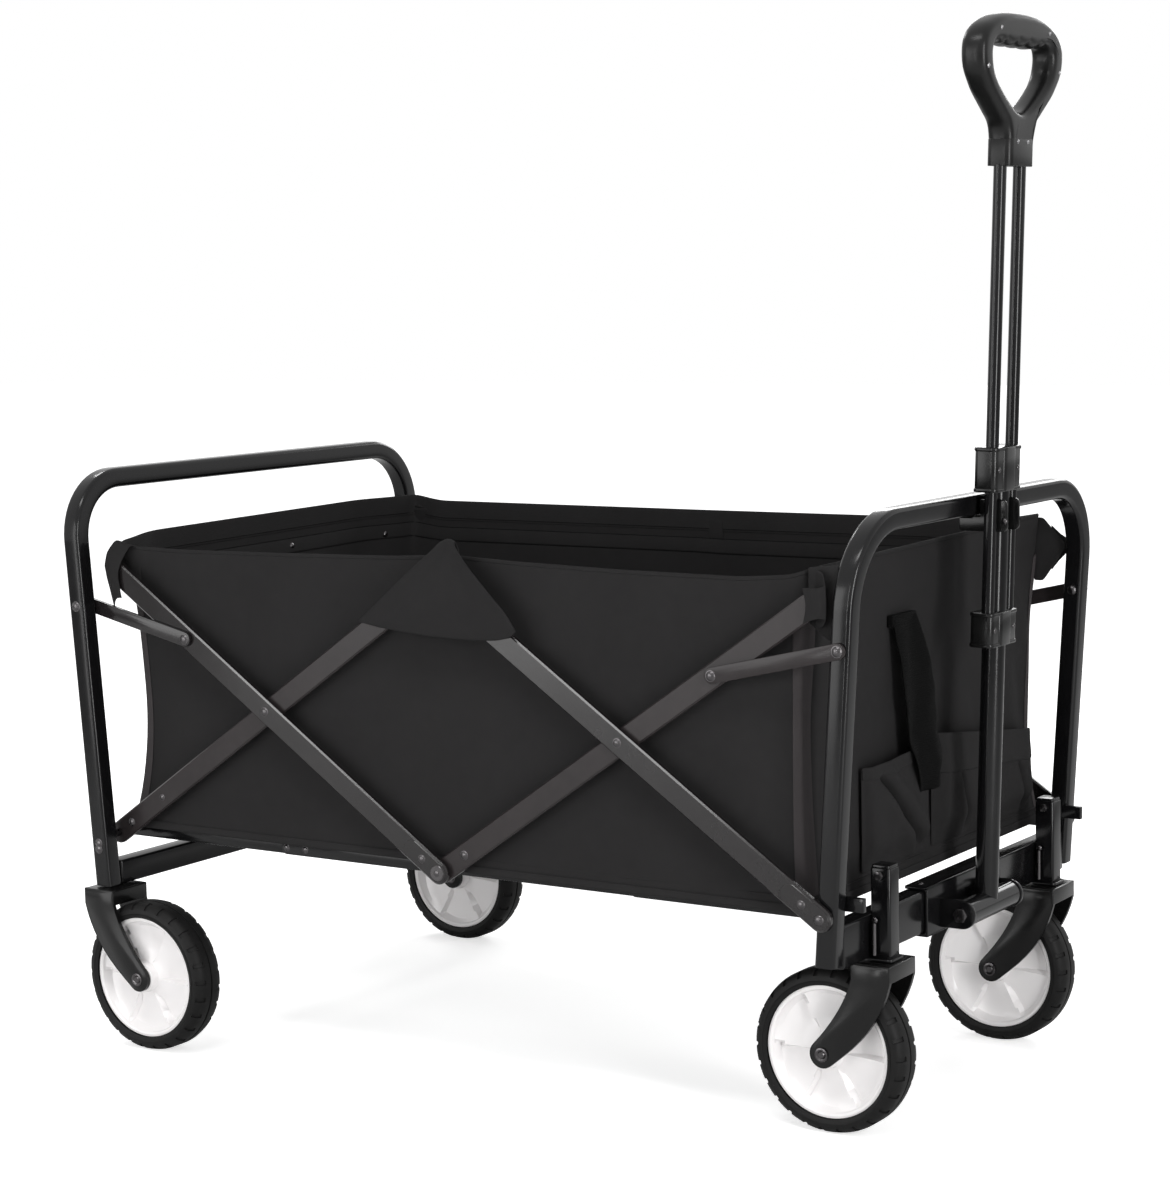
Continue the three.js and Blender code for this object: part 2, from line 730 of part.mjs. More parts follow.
function pivotBolt() {
  const reach = sleeveLength / 2 + earThickness + 2 * gap;
  return combine([
    rodY(pivotBoltRadius, -reach, reach),
    rodY(pivotBoltHeadRadius, -reach - pivotBoltHead, -reach, 0, 0, 6),
    rodY(pivotBoltHeadRadius, reach, reach + pivotBoltHead, 0, 0, 6),
  ]);
}

// Two arms either side of the handle tube, joined by a saddle under the frame's top bar.
function handleClip() {
  const x = frontX(frontTopHeight);
  const halfBar = (tubeSize / 2) * (1 + frontLean) + gap; // the bar's section leans with its frame
  const barBottom = frontTopHeight - halfBar;
  const barFront = x + halfBar;
  const arm = new THREE.Shape();
  const back = x - tubeSize / 2;
  const armTop = frontTopHeight + clipRise;
  arm.moveTo(back, barBottom - clipDrop);
  arm.lineTo(barFront + clipReach, barBottom - clipDrop);
  arm.lineTo(barFront + clipReach, armTop);
  arm.lineTo(barFront, armTop);
  arm.lineTo(barFront, barBottom);
  arm.lineTo(back, barBottom);
  const inner = handleTubeRadius + 2 * gap;
  const lane = { inner, outer: inner + clipArm };
  const saddle = box(
    [back, x + clipSaddleFront],
    [-lane.outer, lane.outer],
    [barBottom - clipArm, barBottom],
  );
  return combine([saddle, ...sides.map(([, side]) => plate(arm, lane, side))]);
}

addMesh('handle_bracket', handleBracket(), blackTube);
addMesh('handle_clip', handleClip(), blackPlastic);
addMesh('handle_pivot_bolt', pivotBolt(), steel).position.set(handlePivotX, 0, handlePivotHeight);

// ---------------------------------------------------------------- pull handle
const handle = new THREE.Group();
handle.position.set(handlePivotX, 0, handlePivotHeight);
handle.rotation.y = handleLean;
wagon.add(handle);

function handleTube() {
  const half = sleeveLength / 2;
  const sleeve = rodY(sleeveRadius, -half, half, 0, 0, 16);
  const bore = rodY(pivotBoltRadius + gap, -half - 1, half + 1);
  return combine([sleeve, rodZ(handleTubeRadius, 0, handleTubeLength)], [bore]);
}

// A collar round the handle tube and both rods; the rods run through it, or are seated in it.
function collar(bottom, height, rodFloor) {
  const back = -handleTubeRadius - collarWall;
  const front = rodForward + rodRadius + collarWall;
  const section = roundedRectangle(front - back, 2 * collarHalfWidth, 6);
  const path = [new THREE.Vector3(0, 0, bottom), new THREE.Vector3(0, 0, bottom + height)];
  const body = sweep(section, path, new THREE.Vector3(1, 0, 0)).translate((front + back) / 2, 0, 0);
  const top = bottom + height + 1;
  const removed = [rodZ(handleTubeRadius + gap, bottom - 1, top)];
  for (const [, side] of sides) {
    removed.push(rodZ(rodRadius + gap, rodFloor, top, rodForward, side * rodSpacing / 2));
  }
  return combine([body], removed);
}

// A D-shaped grip: a straight bar for the hand, two limbs, and a neck that holds both rods.
function grip() {
  const bottom = gripNeckBottom + gripNeckHeight;
  const top = bottom + gripHeight;
  const round = gripRound;
  const half = gripWidth / 2 - round;
  const shape = new THREE.Shape();
  const neck = gripNeckWidth / 2 - round;
  shape.moveTo(-neck, bottom - round);
  shape.lineTo(neck, bottom - round);
  shape.quadraticCurveTo(half, bottom + gripHeight * 0.32, half, top - gripHeight * 0.42);
  shape.quadraticCurveTo(half, top - round, half * 0.45, top - round);
  shape.lineTo(-half * 0.45, top - round);
  shape.quadraticCurveTo(-half, top - round, -half, top - gripHeight * 0.42);
  shape.quadraticCurveTo(-half, bottom + gripHeight * 0.32, -neck, bottom - round);
  const hole = new THREE.Path();
  const innerHalf = gripWidth / 2 - gripLimb + round;
  const innerTop = top - gripBar + round;
  hole.moveTo(0, bottom + gripLimb / 2 - round);
  hole.quadraticCurveTo(-innerHalf, bottom + gripHeight * 0.42, -innerHalf, innerTop - gripLimb / 2);
  hole.quadraticCurveTo(-innerHalf, innerTop, -innerHalf * 0.7, innerTop);
  hole.lineTo(innerHalf * 0.7, innerTop);
  hole.quadraticCurveTo(innerHalf, innerTop, innerHalf, innerTop - gripLimb / 2);
  hole.quadraticCurveTo(innerHalf, bottom + gripHeight * 0.42, 0, bottom + gripLimb / 2 - round);
  shape.holes.push(hole);
  const ring = new THREE.ExtrudeGeometry(shape, {
    depth: gripThickness - 2 * round,
    bevelSize: round,
    bevelThickness: round,
    bevelSegments: 2,
    curveSegments: 5,
  });
  // the outline lies in the YZ plane, and the depth runs along X
  ring.translate(0, 0, round - gripThickness / 2).rotateY(Math.PI / 2).rotateX(Math.PI / 2);
  ring.translate(rodForward, 0, 0);
  const section = roundedRectangle(gripThickness, gripNeckWidth, 5);
  const path = [new THREE.Vector3(0, 0, gripNeckBottom), new THREE.Vector3(0, 0, bottom + 2)];
  const neckBody = sweep(section, path, new THREE.Vector3(1, 0, 0)).translate(rodForward, 0, 0);
  const socketTop = gripNeckBottom + rodSeat + gap;
  const sockets = sides.map(([, side]) => (
    rodZ(rodRadius + gap, gripNeckBottom - 1, socketTop, rodForward, side * rodSpacing / 2)
  ));
  return combine([ring, neckBody], sockets);
}

const topCollar = collar(topCollarBottom, topCollarHeight, topCollarBottom - 1);
const slideFloor = slideCollarBottom + collarWall;
const slideCollar = collar(slideCollarBottom, slideCollarHeight, slideFloor);
addMesh('handle_tube', handleTube(), blackTube, handle);
addMesh('handle_top_collar', topCollar, blackPlastic, handle);
addMesh('handle_slide_collar', slideCollar, blackPlastic, handle);
for (const [name, side] of sides) {
  const y = side * rodSpacing / 2;
  const rod = rodZ(rodRadius, slideFloor + gap, gripNeckBottom + rodSeat, rodForward, y);
  addMesh(`handle_rod_${name}`, combine([rod]), blackTube, handle);
}
addMesh('handle_grip', grip(), blackPlastic, handle);

// ---------------------------------------------------------------- stand the wagon on its origin
wagon.updateMatrixWorld(true);
const bounds = new THREE.Box3().setFromObject(wagon, true);
wagon.position.x = -(bounds.min.x + bounds.max.x) / 2;
wagon.updateMatrixWorld(true);

export default wagon;
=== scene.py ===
"""A folding utility wagon: cloth basket, scissor sides, caster wheels and a telescopic handle.

Sizes are in metres. X is measured from the middle hub unless a name says otherwise, +X runs
towards the pull handle, and the near side is -Y.
"""

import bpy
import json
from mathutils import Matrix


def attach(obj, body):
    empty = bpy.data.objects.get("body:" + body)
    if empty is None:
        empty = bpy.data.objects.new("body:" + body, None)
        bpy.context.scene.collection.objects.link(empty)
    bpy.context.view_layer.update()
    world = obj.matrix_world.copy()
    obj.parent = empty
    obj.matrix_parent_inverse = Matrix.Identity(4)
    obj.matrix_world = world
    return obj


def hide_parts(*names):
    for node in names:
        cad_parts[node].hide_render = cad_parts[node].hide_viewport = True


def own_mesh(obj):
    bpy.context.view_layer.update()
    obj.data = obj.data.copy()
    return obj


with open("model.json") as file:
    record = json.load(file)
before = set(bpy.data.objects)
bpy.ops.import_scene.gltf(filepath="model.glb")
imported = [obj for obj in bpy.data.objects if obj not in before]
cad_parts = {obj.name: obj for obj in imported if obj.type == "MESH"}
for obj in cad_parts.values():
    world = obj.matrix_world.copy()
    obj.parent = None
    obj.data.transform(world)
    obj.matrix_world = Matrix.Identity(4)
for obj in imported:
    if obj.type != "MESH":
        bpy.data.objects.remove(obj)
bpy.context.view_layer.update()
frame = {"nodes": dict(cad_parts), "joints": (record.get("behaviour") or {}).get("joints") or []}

import json
import logging
import math
from collections.abc import Callable, Iterable, Sequence
from dataclasses import dataclass
from enum import Enum

import bmesh
import bpy
from mathutils import Matrix, Vector, noise

log = logging.getLogger("wagon")

Point = tuple[float, float]
Rows = tuple[tuple[float, ...], ...]
Shape = bmesh.types.BMesh


class Named(Enum):
    """A choice whose name stands in the names of the frame's bodies."""

    @property
    def word(self) -> str:
        """The name as the bodies spell it."""
        return self.name.lower()


class Side(Named):
    """A side of the wagon, with the sign of its Y."""

    RIGHT = -1
    LEFT = 1

    @property
    def other(self) -> "Side":
        """The opposite side."""
        return Side(-self.value)


class End(Named):
    """An end of the wagon, with the sign of its X."""

    FRONT = 1
    REAR = -1


# ---- shader tools
class Wire:
    """A number that flows through a shader, with the arithmetic operators."""

    def __init__(self, tree: "Shader", socket: bpy.types.NodeSocket) -> None:
        """Wraps a node's output."""
        self.tree = tree
        self.socket = socket

    def math(self, operation: str, *others: "Wire | float") -> "Wire":
        """Adds a Math node.

        Args:
            operation: The node's operation.
            others: Its second and third operands.

        Returns:
            The node's output.
        """
        values = {i: value for i, value in enumerate((self, *others))}
        return self.tree.node("ShaderNodeMath", {"operation": operation}, values)

    def __add__(self, other: "Wire | float") -> "Wire":
        """Sum."""
        return self.math("ADD", other)

    __radd__ = __add__

    def __mul__(self, other: "Wire | float") -> "Wire":
        """Product."""
        return self.math("MULTIPLY", other)

    __rmul__ = __mul__

    def __sub__(self, other: "Wire | float") -> "Wire":
        """Difference."""
        return self.math("SUBTRACT", other)

    def __rsub__(self, other: float) -> "Wire":
        """Difference from a plain number."""
        return self * -1.0 + other

    def sine(self) -> "Wire":
        """Sine of the value in radians."""
        return self.math("SINE")

    def size(self) -> "Wire":
        """Value without its sign."""
        return self.math("ABSOLUTE")


class Shader:
    """A node tree that is built up by calls."""

    def __init__(self, tree: bpy.types.NodeTree) -> None:
        """Takes over a tree and empties it."""
        self.tree = tree
        tree.nodes.clear()

    def node(
        self, kind: str, settings: dict | None = None, values: dict | None = None,
        output: int | str = 0,
    ) -> Wire:
        """Adds a node.

        Args:
            kind: The node's type.
            settings: Properties that are set before the sockets are filled.
            values: Socket name or number to a value or a wire.
            output: The output that is wanted.

        Returns:
            The wanted output.
        """
        made = self.tree.nodes.new(kind)
        for key, value in (settings or {}).items():
            setattr(made, key, value)
        for key, value in (values or {}).items():
            if isinstance(value, Wire):
                self.tree.links.new(value.socket, made.inputs[key])
            else:
                made.inputs[key].default_value = value
        return Wire(self, made.outputs[output]) if made.outputs else Wire(self, None)

    def noise(self, place: Wire, scale: float, detail: float = 2.0) -> Wire:
        """Smooth noise from 0 to 1 at a place, with a scale in cells per metre."""
        values = {"Vector": place, "Scale": scale, "Detail": detail, "Roughness": 0.5}
        return self.node("ShaderNodeTexNoise", {"noise_dimensions": "3D"}, values)

    def blend(self, share: Wire, first: Sequence[float], second: Sequence[float]) -> Wire:
        """Mixes two colours by a share of the second.

        Args:
            share: The share of the second colour.
            first: One colour.
            second: The other colour.

        Returns:
            The mixed colour.
        """
        values = {0: share, 6: (*first, 1.0), 7: (*second, 1.0)}
        settings = {"data_type": "RGBA", "clamp_factor": True}
        return self.node("ShaderNodeMix", settings, values, 2)


class Texture(Enum):
    """What the surface of a finish is like close up."""

    COAT = "powder coat"
    MOULDED = "moulded plastic"
    RUBBER = "rubber"
    ZINC = "zinc plate"
    WEAVE = "plain weave"
    TAPE = "ribbed tape with a stitched line"


@dataclass(frozen=True)
class Finish:
    """How a surface looks: its colours, gloss and fine relief.

    The colour varies between its two values, and the roughness by its spread. The pitch and the
    depth are those of the relief, in metres.
    """

    name: str
    slot: str
    texture: Texture
    colour: tuple[float, float, float]
    second: tuple[float, float, float]
    roughness: float
    spread: float = 0.08
    metallic: float = 0.0
    specular: float = 0.5
    pitch: float = 0.0012
    depth: float = 0.00004

    @property
    def cloth(self) -> bool:
        """Whether its pattern follows the piece's own map."""
        return self.texture in (Texture.WEAVE, Texture.TAPE)

    def relief(self, shader: Shader, place: Wire) -> Wire:
        """The fine relief, from 0 to 1, at a place on the surface.

        Args:
            shader: The tree that it is added to.
            place: Where on the surface.

        Returns:
            The height.
        """
        fine = shader.noise(place, 1 / self.pitch)
        if not self.cloth:
            return fine
        turn = 2 * math.pi / self.pitch
        across, along = (
            (shader.node("ShaderNodeSeparateXYZ", {}, {0: place}, i) * turn).sine()
            for i in range(2)
        )
        if self.texture is Texture.TAPE:
            return along.size() * 0.7 + fine * 0.3
        return (across * along).size() * 0.6 + fine * 0.4

    def material(self) -> bpy.types.Material:
        """Builds the material, or finds it if another piece has it already.

        Returns:
            The material.
        """
        known = bpy.data.materials.get(self.name)
        if known:
            return known
        made = bpy.data.materials.new(self.name)
        made.use_nodes = True
        made.diffuse_color = (*self.colour, 1.0)
        shader = Shader(made.node_tree)
        place = shader.node("ShaderNodeTexCoord", output="UV" if self.cloth else "Object")
        broad = shader.noise(place, 11.0, 4.0)
        middle = shader.noise(place, 70.0, 3.0)
        share = (broad * 1.6 - 0.3) * 0.6 + (middle * 1.6 - 0.3) * 0.4
        relief = self.relief(shader, place)
        if self.cloth:
            share = share * 0.7 + relief * 0.3
        height = relief + middle * 0.5
        values = {"Strength": 1.0, "Distance": self.depth, "Height": height}
        bump = shader.node("ShaderNodeBump", {}, values)
        principled = {
            "Base Color": shader.blend(share, self.colour, self.second),
            "Roughness": middle * self.spread + (self.roughness - self.spread / 2),
            "Metallic": self.metallic,
            "Specular IOR Level": self.specular,
            "Normal": bump,
        }
        body = shader.node("ShaderNodeBsdfPrincipled", {}, principled)
        shader.node("ShaderNodeOutputMaterial", {}, {"Surface": body})
        return made


BLACK_COAT = Finish(
    "black_powder_coat", "black_metal", Texture.COAT, (0.0030, 0.0030, 0.0034),
    (0.0065, 0.0064, 0.0068), 0.16, spread=0.04, specular=0.27, depth=0.00001,
)
GREY_COAT = Finish(
    "grey_powder_coat", "grey_metal", Texture.COAT, (0.0160, 0.0135, 0.0138),
    (0.0290, 0.0245, 0.0250), 0.24, specular=0.22,
)
BAR_COAT = Finish(
    "dark_bar_coat", "black_metal", Texture.COAT, (0.0085, 0.0074, 0.0076),
    (0.0160, 0.0140, 0.0144), 0.15, spread=0.04, specular=0.40,
)
FORK_COAT = Finish(
    "fork_coat", "black_metal", Texture.COAT, (0.0035, 0.0035, 0.0035),
    (0.0070, 0.0068, 0.0068), 0.22, specular=0.26, depth=0.00005,
)
GRIP_PLASTIC = Finish(
    "grip_plastic", "black_plastic", Texture.MOULDED, (0.0060, 0.0060, 0.0060),
    (0.0095, 0.0095, 0.0095), 0.30, specular=0.22, pitch=0.0009, depth=0.00003,
)
COLLAR_PLASTIC = Finish(
    "collar_plastic", "black_plastic", Texture.MOULDED, (0.0035, 0.0035, 0.0035),
    (0.0070, 0.0070, 0.0070), 0.20, spread=0.05, specular=0.27, pitch=0.0011, depth=0.00002,
)
WHEEL_PLASTIC = Finish(
    "wheel_plastic", "wheel_plastic", Texture.MOULDED, (0.84, 0.825, 0.83),
    (0.78, 0.76, 0.768), 0.36, specular=0.4, pitch=0.0015, depth=0.00002,
)
TYRE_RUBBER = Finish(
    "tyre_rubber", "tyre", Texture.RUBBER, (0.0050, 0.0050, 0.0050),
    (0.0110, 0.0107, 0.0107), 0.52, specular=0.14, pitch=0.0016, depth=0.00009,
)
ZINC = Finish(
    "zinc_plate", "steel", Texture.ZINC, (0.46, 0.45, 0.46), (0.30, 0.30, 0.31),
    0.30, metallic=1.0, pitch=0.0008, depth=0.00001,
)
RIVET = Finish(
    "dark_rivet_steel", "steel", Texture.ZINC, (0.105, 0.100, 0.102), (0.065, 0.062, 0.064),
    0.27, metallic=1.0, pitch=0.0008, depth=0.00001,
)
CLOTH = Finish(
    "oxford_cloth", "fabric", Texture.WEAVE, (0.0170, 0.0165, 0.0168),
    (0.0250, 0.0242, 0.0246), 0.84, specular=0.05, pitch=0.0013, depth=0.00016,
)
BINDING = Finish(
    "cloth_hem", "fabric", Texture.WEAVE, (0.0175, 0.0170, 0.0173),
    (0.0262, 0.0255, 0.0258), 0.82, specular=0.05, pitch=0.0013, depth=0.00016,
)
THREAD = Finish(
    "seam_thread", "fabric", Texture.TAPE, (0.0060, 0.0060, 0.0060),
    (0.0110, 0.0110, 0.0110), 0.8, specular=0.02, pitch=0.0030, depth=0.0002,
)
# The corner tapes' lighter grey is a painted highlight: it stands for the light that the basket's
# corners catch.
CORNER_HIGHLIGHT_CLOTH = Finish(
    "corner_tape", "fabric", Texture.WEAVE, (0.036, 0.032, 0.033),
    (0.048, 0.043, 0.044), 0.78, specular=0.15, pitch=0.0013, depth=0.00016,
)
WEBBING = Finish(
    "strap_webbing", "fabric", Texture.TAPE, (0.0030, 0.0030, 0.0030),
    (0.0060, 0.0060, 0.0060), 0.70, specular=0.03, pitch=0.004, depth=0.0004,
)
MAT_CLOTH = Finish(
    "mat_cloth", "board", Texture.WEAVE, (0.014, 0.014, 0.014),
    (0.021, 0.021, 0.021), 0.86, specular=0.05, pitch=0.0016, depth=0.0003,
)


# ---- mesh tools
def blank() -> Shape:
    """An empty shape."""
    return bmesh.new()


def ease(
    shape: Shape, width: float, segments: int = 2, angle: float = 40.0, clamp: bool = True
) -> Shape:
    """Rounds every edge that is sharper than an angle in degrees.

    Args:
        shape: What is rounded.
        width: How far each edge is cut back.
        segments: Faces across the rounding.
        angle: The angle between faces from which an edge counts as sharp.
        clamp: Whether roundings stop where they meet.

    Returns:
        The same shape.
    """
    sharp = [
        edge
        for edge in shape.edges
        if len(edge.link_faces) == 2 and edge.calc_face_angle(0.0) > math.radians(angle)
    ]
    bmesh.ops.bevel(
        shape, geom=sharp, offset=width, offset_type="OFFSET", segments=segments,
        profile=0.5, affect="EDGES", clamp_overlap=clamp, material=-1,
    )
    return shape


def face_of(points: Sequence[Point], rounds: Sequence[float] | float = 0.0) -> Shape:
    """A flat face in the XZ plane, with its corners rounded.

    Args:
        points: The corners, as (x, z).
        rounds: A radius for each corner, or one for all.

    Returns:
        The shape.
    """
    shape = blank()
    corners = [shape.verts.new((x, 0.0, z)) for x, z in points]
    shape.faces.new(corners)
    sizes = rounds if isinstance(rounds, Sequence) else [rounds] * len(corners)
    count = len(points)
    for i, (corner, radius) in enumerate(zip(corners, sizes)):
        if radius <= 0:
            continue
        here = Vector(points[i])
        before = (Vector(points[i - 1]) - here).normalized()
        after = (Vector(points[(i + 1) % count]) - here).normalized()
        half = before.angle(after) / 2
        bmesh.ops.bevel(
            shape, geom=[corner], offset=radius / math.tan(half), offset_type="OFFSET",
            segments=6, profile=0.5, affect="VERTICES", clamp_overlap=True, material=-1,
        )
    bmesh.ops.remove_doubles(shape, verts=shape.verts, dist=1e-5)
    return shape


def plate(
    points: Sequence[Point], low: float, high: float,
    rounds: Sequence[float] | float = 0.0, edge: float = 0.0008,
) -> Shape:
    """A flat plate whose outline lies in the XZ plane.

    Args:
        points: The outline's corners, as (x, z).
        low: One face's Y.
        high: The other face's Y.
        rounds: The outline's corner radii.
        edge: How far its edges are eased.

    Returns:
        The shape.
    """
    shape = face_of(points, rounds)
    bmesh.ops.recalc_face_normals(shape, faces=shape.faces)
    rim = list(shape.faces)
    made = bmesh.ops.extrude_face_region(shape, geom=rim, use_keep_orig=True)
    moved = [item for item in made["geom"] if isinstance(item, bmesh.types.BMVert)]
    bmesh.ops.translate(shape, verts=moved, vec=(0.0, high - low, 0.0))
    bmesh.ops.translate(shape, verts=shape.verts, vec=(0.0, low, 0.0))
    bmesh.ops.recalc_face_normals(shape, faces=shape.faces)
    return ease(shape, edge) if edge else shape


def block(low: Sequence[float], high: Sequence[float], edge: float = 0.0008) -> Shape:
    """A box between two corners, with eased edges.

    Args:
        low: The corner with the lowest X, Y and Z.
        high: The opposite corner.
        edge: How far its edges are eased.

    Returns:
        The shape.
    """
    shape = blank()
    bmesh.ops.create_cube(shape, size=1.0)
    size = Vector(high) - Vector(low)
    bmesh.ops.scale(shape, vec=size, verts=shape.verts)
    bmesh.ops.translate(shape, vec=Vector(low) + size / 2, verts=shape.verts)
    return ease(shape, edge, 3)


def lathe(profile: Sequence[Point], steps: int = 32, ring: bool = False) -> Shape:
    """A turned shape about the Y axis.

    Args:
        profile: Points as (radius, along Y).
        steps: Steps round the axis.
        ring: Whether the profile closes on itself.

    Returns:
        The shape.
    """
    shape = blank()
    verts = [shape.verts.new((radius, along, 0.0)) for radius, along in profile]
    pairs = list(zip(verts, verts[1:])) + ([(verts[-1], verts[0])] if ring else [])
    edges = [shape.edges.new(pair) for pair in pairs]
    bmesh.ops.spin(
        shape, geom=verts + edges, cent=(0, 0, 0), axis=(0, 1, 0), dvec=(0, 0, 0),
        angle=2 * math.pi, steps=steps, use_merge=True, use_duplicate=False,
    )
    bmesh.ops.remove_doubles(shape, verts=shape.verts, dist=1e-6)
    bmesh.ops.recalc_face_normals(shape, faces=shape.faces)
    return shape


def mirrored(half: Sequence[Point]) -> list[Point]:
    """A lathe's profile that goes on with its own mirror image, backwards."""
    return list(half) + [(radius, -along) for radius, along in reversed(half)]


def placed(shape: Shape, matrix: Matrix) -> Shape:
    """Moves a shape, and keeps its faces outwards.

    Args:
        shape: What is moved.
        matrix: The move, which may mirror it.

    Returns:
        The same shape.
    """
    bmesh.ops.transform(shape, matrix=matrix, verts=shape.verts)
    if matrix.determinant() < 0:
        bmesh.ops.reverse_faces(shape, faces=shape.faces)
    return shape


def at(x: float, y: float, z: float) -> Matrix:
    """The matrix of a move."""
    return Matrix.Translation((x, y, z))


def facing(shape: Shape, side: Side, x: float, y: float, z: float) -> Shape:
    """Places a shape that faces +Y so that it faces outwards from one side of the wagon."""
    return placed(shape, at(x, y, z) @ Matrix.Scale(side.value, 4, (0, 1, 0)))


def facing_out(shape: Shape, flip: bool) -> Shape:
    """Turns a sheet's faces over where its grid runs the other way round."""
    if flip:
        bmesh.ops.reverse_faces(shape, faces=shape.faces)
    return shape


def rod(radius: float, start: Vector, end: Vector, edge: float = 0.0006) -> Shape:
    """A round rod between two points, with chamfered ends.

    Args:
        radius: The rod's radius.
        start: The middle of one end.
        end: The middle of the other end.
        edge: The chamfer's size.

    Returns:
        The shape.
    """
    length = (end - start).length
    profile = [
        (0.0, 0.0), (radius - edge, 0.0), (radius, edge),
        (radius, length - edge), (radius - edge, length), (0.0, length),
    ]
    turn = Vector((0, 1, 0)).rotation_difference(end - start).to_matrix().to_4x4()
    return placed(lathe(profile, 28), Matrix.Translation(start) @ turn)


def pin(
    radius: float, x: float, z: float, start: float, end: float, edge: float = 0.0006
) -> Shape:
    """A round rod along Y, between two places on it."""
    return rod(radius, Vector((x, start, z)), Vector((x, end, z)), edge)


def dome(x: float, y: float, z: float, side: Side, radius: float = 0.0056) -> Shape:
    """A domed rivet head with a thin flange.

    Args:
        x: X of the flange's back.
        y: Its Y.
        z: Its Z.
        side: The side that the head faces.
        radius: The flange's radius.

    Returns:
        The shape.
    """
    height = radius * 0.42
    profile = [
        (0.0, height), (radius * 0.42, height * 0.86), (radius * 0.72, height * 0.5),
        (radius * 0.86, height * 0.12), (radius, height * 0.08), (radius, 0.0), (0.0, 0.0),
    ]
    return facing(lathe(profile, 20), side, x, y, z)


def washer(x: float, y: float, z: float, side: Side, radius: float) -> Shape:
    """A thin washer.

    Args:
        x: X of the washer's back.
        y: Its Y.
        z: Its Z.
        side: The side that it faces.
        radius: Its radius.

    Returns:
        The shape.
    """
    profile = [
        (0.0, 0.0009), (radius - 0.0006, 0.0009), (radius, 0.0003), (radius, 0.0), (0.0, 0.0),
    ]
    return facing(lathe(profile, 28), side, x, y, z)


def hexagon(x: float, y: float, z: float, side: Side, across: float, high: float) -> Shape:
    """A hexagon bolt head."""
    shape = lathe([(0.0, high), (across / 2, high), (across / 2, 0.0), (0.0, 0.0)], 6)
    return facing(ease(shape, across * 0.05), side, x, y, z)


class TubeRun:
    """A tube that is drawn out of its section: straight runs and bends."""

    def __init__(self, size: float, corner: float) -> None:
        """Starts from a square section in the XY plane.

        Args:
            size: The tube's width.
            corner: The radius of its section's corners.
        """
        half = size / 2
        self.shape = face_of([(-half, -half), (half, -half), (half, half), (-half, half)], corner)
        turn = Matrix.Rotation(math.radians(90), 4, "X")
        bmesh.ops.transform(self.shape, matrix=turn, verts=self.shape.verts)
        self.hold(self.shape.edges, self.shape.verts)

    def hold(self, *made: Iterable) -> None:
        """Keeps the open end's edges and points."""
        items = [item for group in made for item in group]
        self.verts = [item for item in items if isinstance(item, bmesh.types.BMVert)]
        self.edges = [item for item in items if isinstance(item, bmesh.types.BMEdge)]

    def shift(self, vector: Sequence[float]) -> None:
        """Moves everything that is drawn so far."""
        bmesh.ops.translate(self.shape, verts=self.shape.verts, vec=vector)

    def straight(self, vector: Sequence[float]) -> None:
        """Draws the open end along a vector.

        Args:
            vector: How far and which way.
        """
        self.hold(bmesh.ops.extrude_edge_only(self.shape, edges=self.edges)["geom"])
        ends = set(self.verts)
        self.edges = [edge for edge in self.edges if set(edge.verts) <= ends]
        bmesh.ops.translate(self.shape, verts=self.verts, vec=vector)

    def bend(self, centre: Sequence[float], axis: Sequence[float], degrees: float) -> None:
        """Turns the open end about an axis through a centre.

        Args:
            centre: A point on the axis.
            axis: The axis's direction.
            degrees: The turn.
        """
        made = bmesh.ops.spin(
            self.shape, geom=self.verts + self.edges, cent=centre, axis=axis,
            dvec=(0, 0, 0), angle=math.radians(degrees), steps=14, use_duplicate=False,
        )
        self.hold(made["geom_last"])

    def close(self) -> Shape:
        """Caps the open end."""
        bmesh.ops.holes_fill(self.shape, edges=self.edges, sides=0)
        bmesh.ops.remove_doubles(self.shape, verts=self.shape.verts, dist=1e-6)
        bmesh.ops.recalc_face_normals(self.shape, faces=self.shape.faces)
        return self.shape


def patch(
    across: int, along: int, where: Callable[[float, float], Vector], stretch: Point = (1.0, 1.0)
) -> Shape:
    """A sheet that is a grid, moved point by point.

    Args:
        across: Cells in the first direction.
        along: Cells in the second direction.
        where: Maps two shares, from 0 to 1, to a place.
        stretch: The sheet's real width and length, for its UV map.

    Returns:
        The shape.
    """
    shape = blank()
    bmesh.ops.create_grid(
        shape, x_segments=across, y_segments=along, size=0.5, calc_uvs=False
    )
    layer = shape.loops.layers.uv.new("cloth")
    for face in shape.faces:
        for loop in face.loops:
            u, v = loop.vert.co.x + 0.5, loop.vert.co.y + 0.5
            loop[layer].uv = (u * stretch[0], v * stretch[1])
    for vert in shape.verts:
        vert.co = where(vert.co.x + 0.5, vert.co.y + 0.5)
    return shape


def flat_map(shape: Shape) -> None:
    """Gives a shape a UV map in metres, each face seen along its main direction.

    Args:
        shape: What is mapped.
    """
    layer = shape.loops.layers.uv.get("cloth") or shape.loops.layers.uv.new("cloth")
    for face in shape.faces:
        sizes = [abs(n) for n in face.normal]
        main = sizes.index(max(sizes))
        axes = [axis for axis in range(3) if axis != main]
        for loop in face.loops:
            loop[layer].uv = (loop.vert.co[axes[0]], loop.vert.co[axes[1]])


@dataclass
class Wall:
    """How a sheet becomes a piece of cloth: its thickness, to which side, and how smooth."""

    thickness: float = 0.0018
    offset: float = -1.0
    levels: int = 1


def add(name: str, data: bpy.types.ID) -> bpy.types.Object:
    """Puts a new object with this data into the scene."""
    made = bpy.data.objects.new(name, data)
    bpy.context.scene.collection.objects.link(made)
    return made


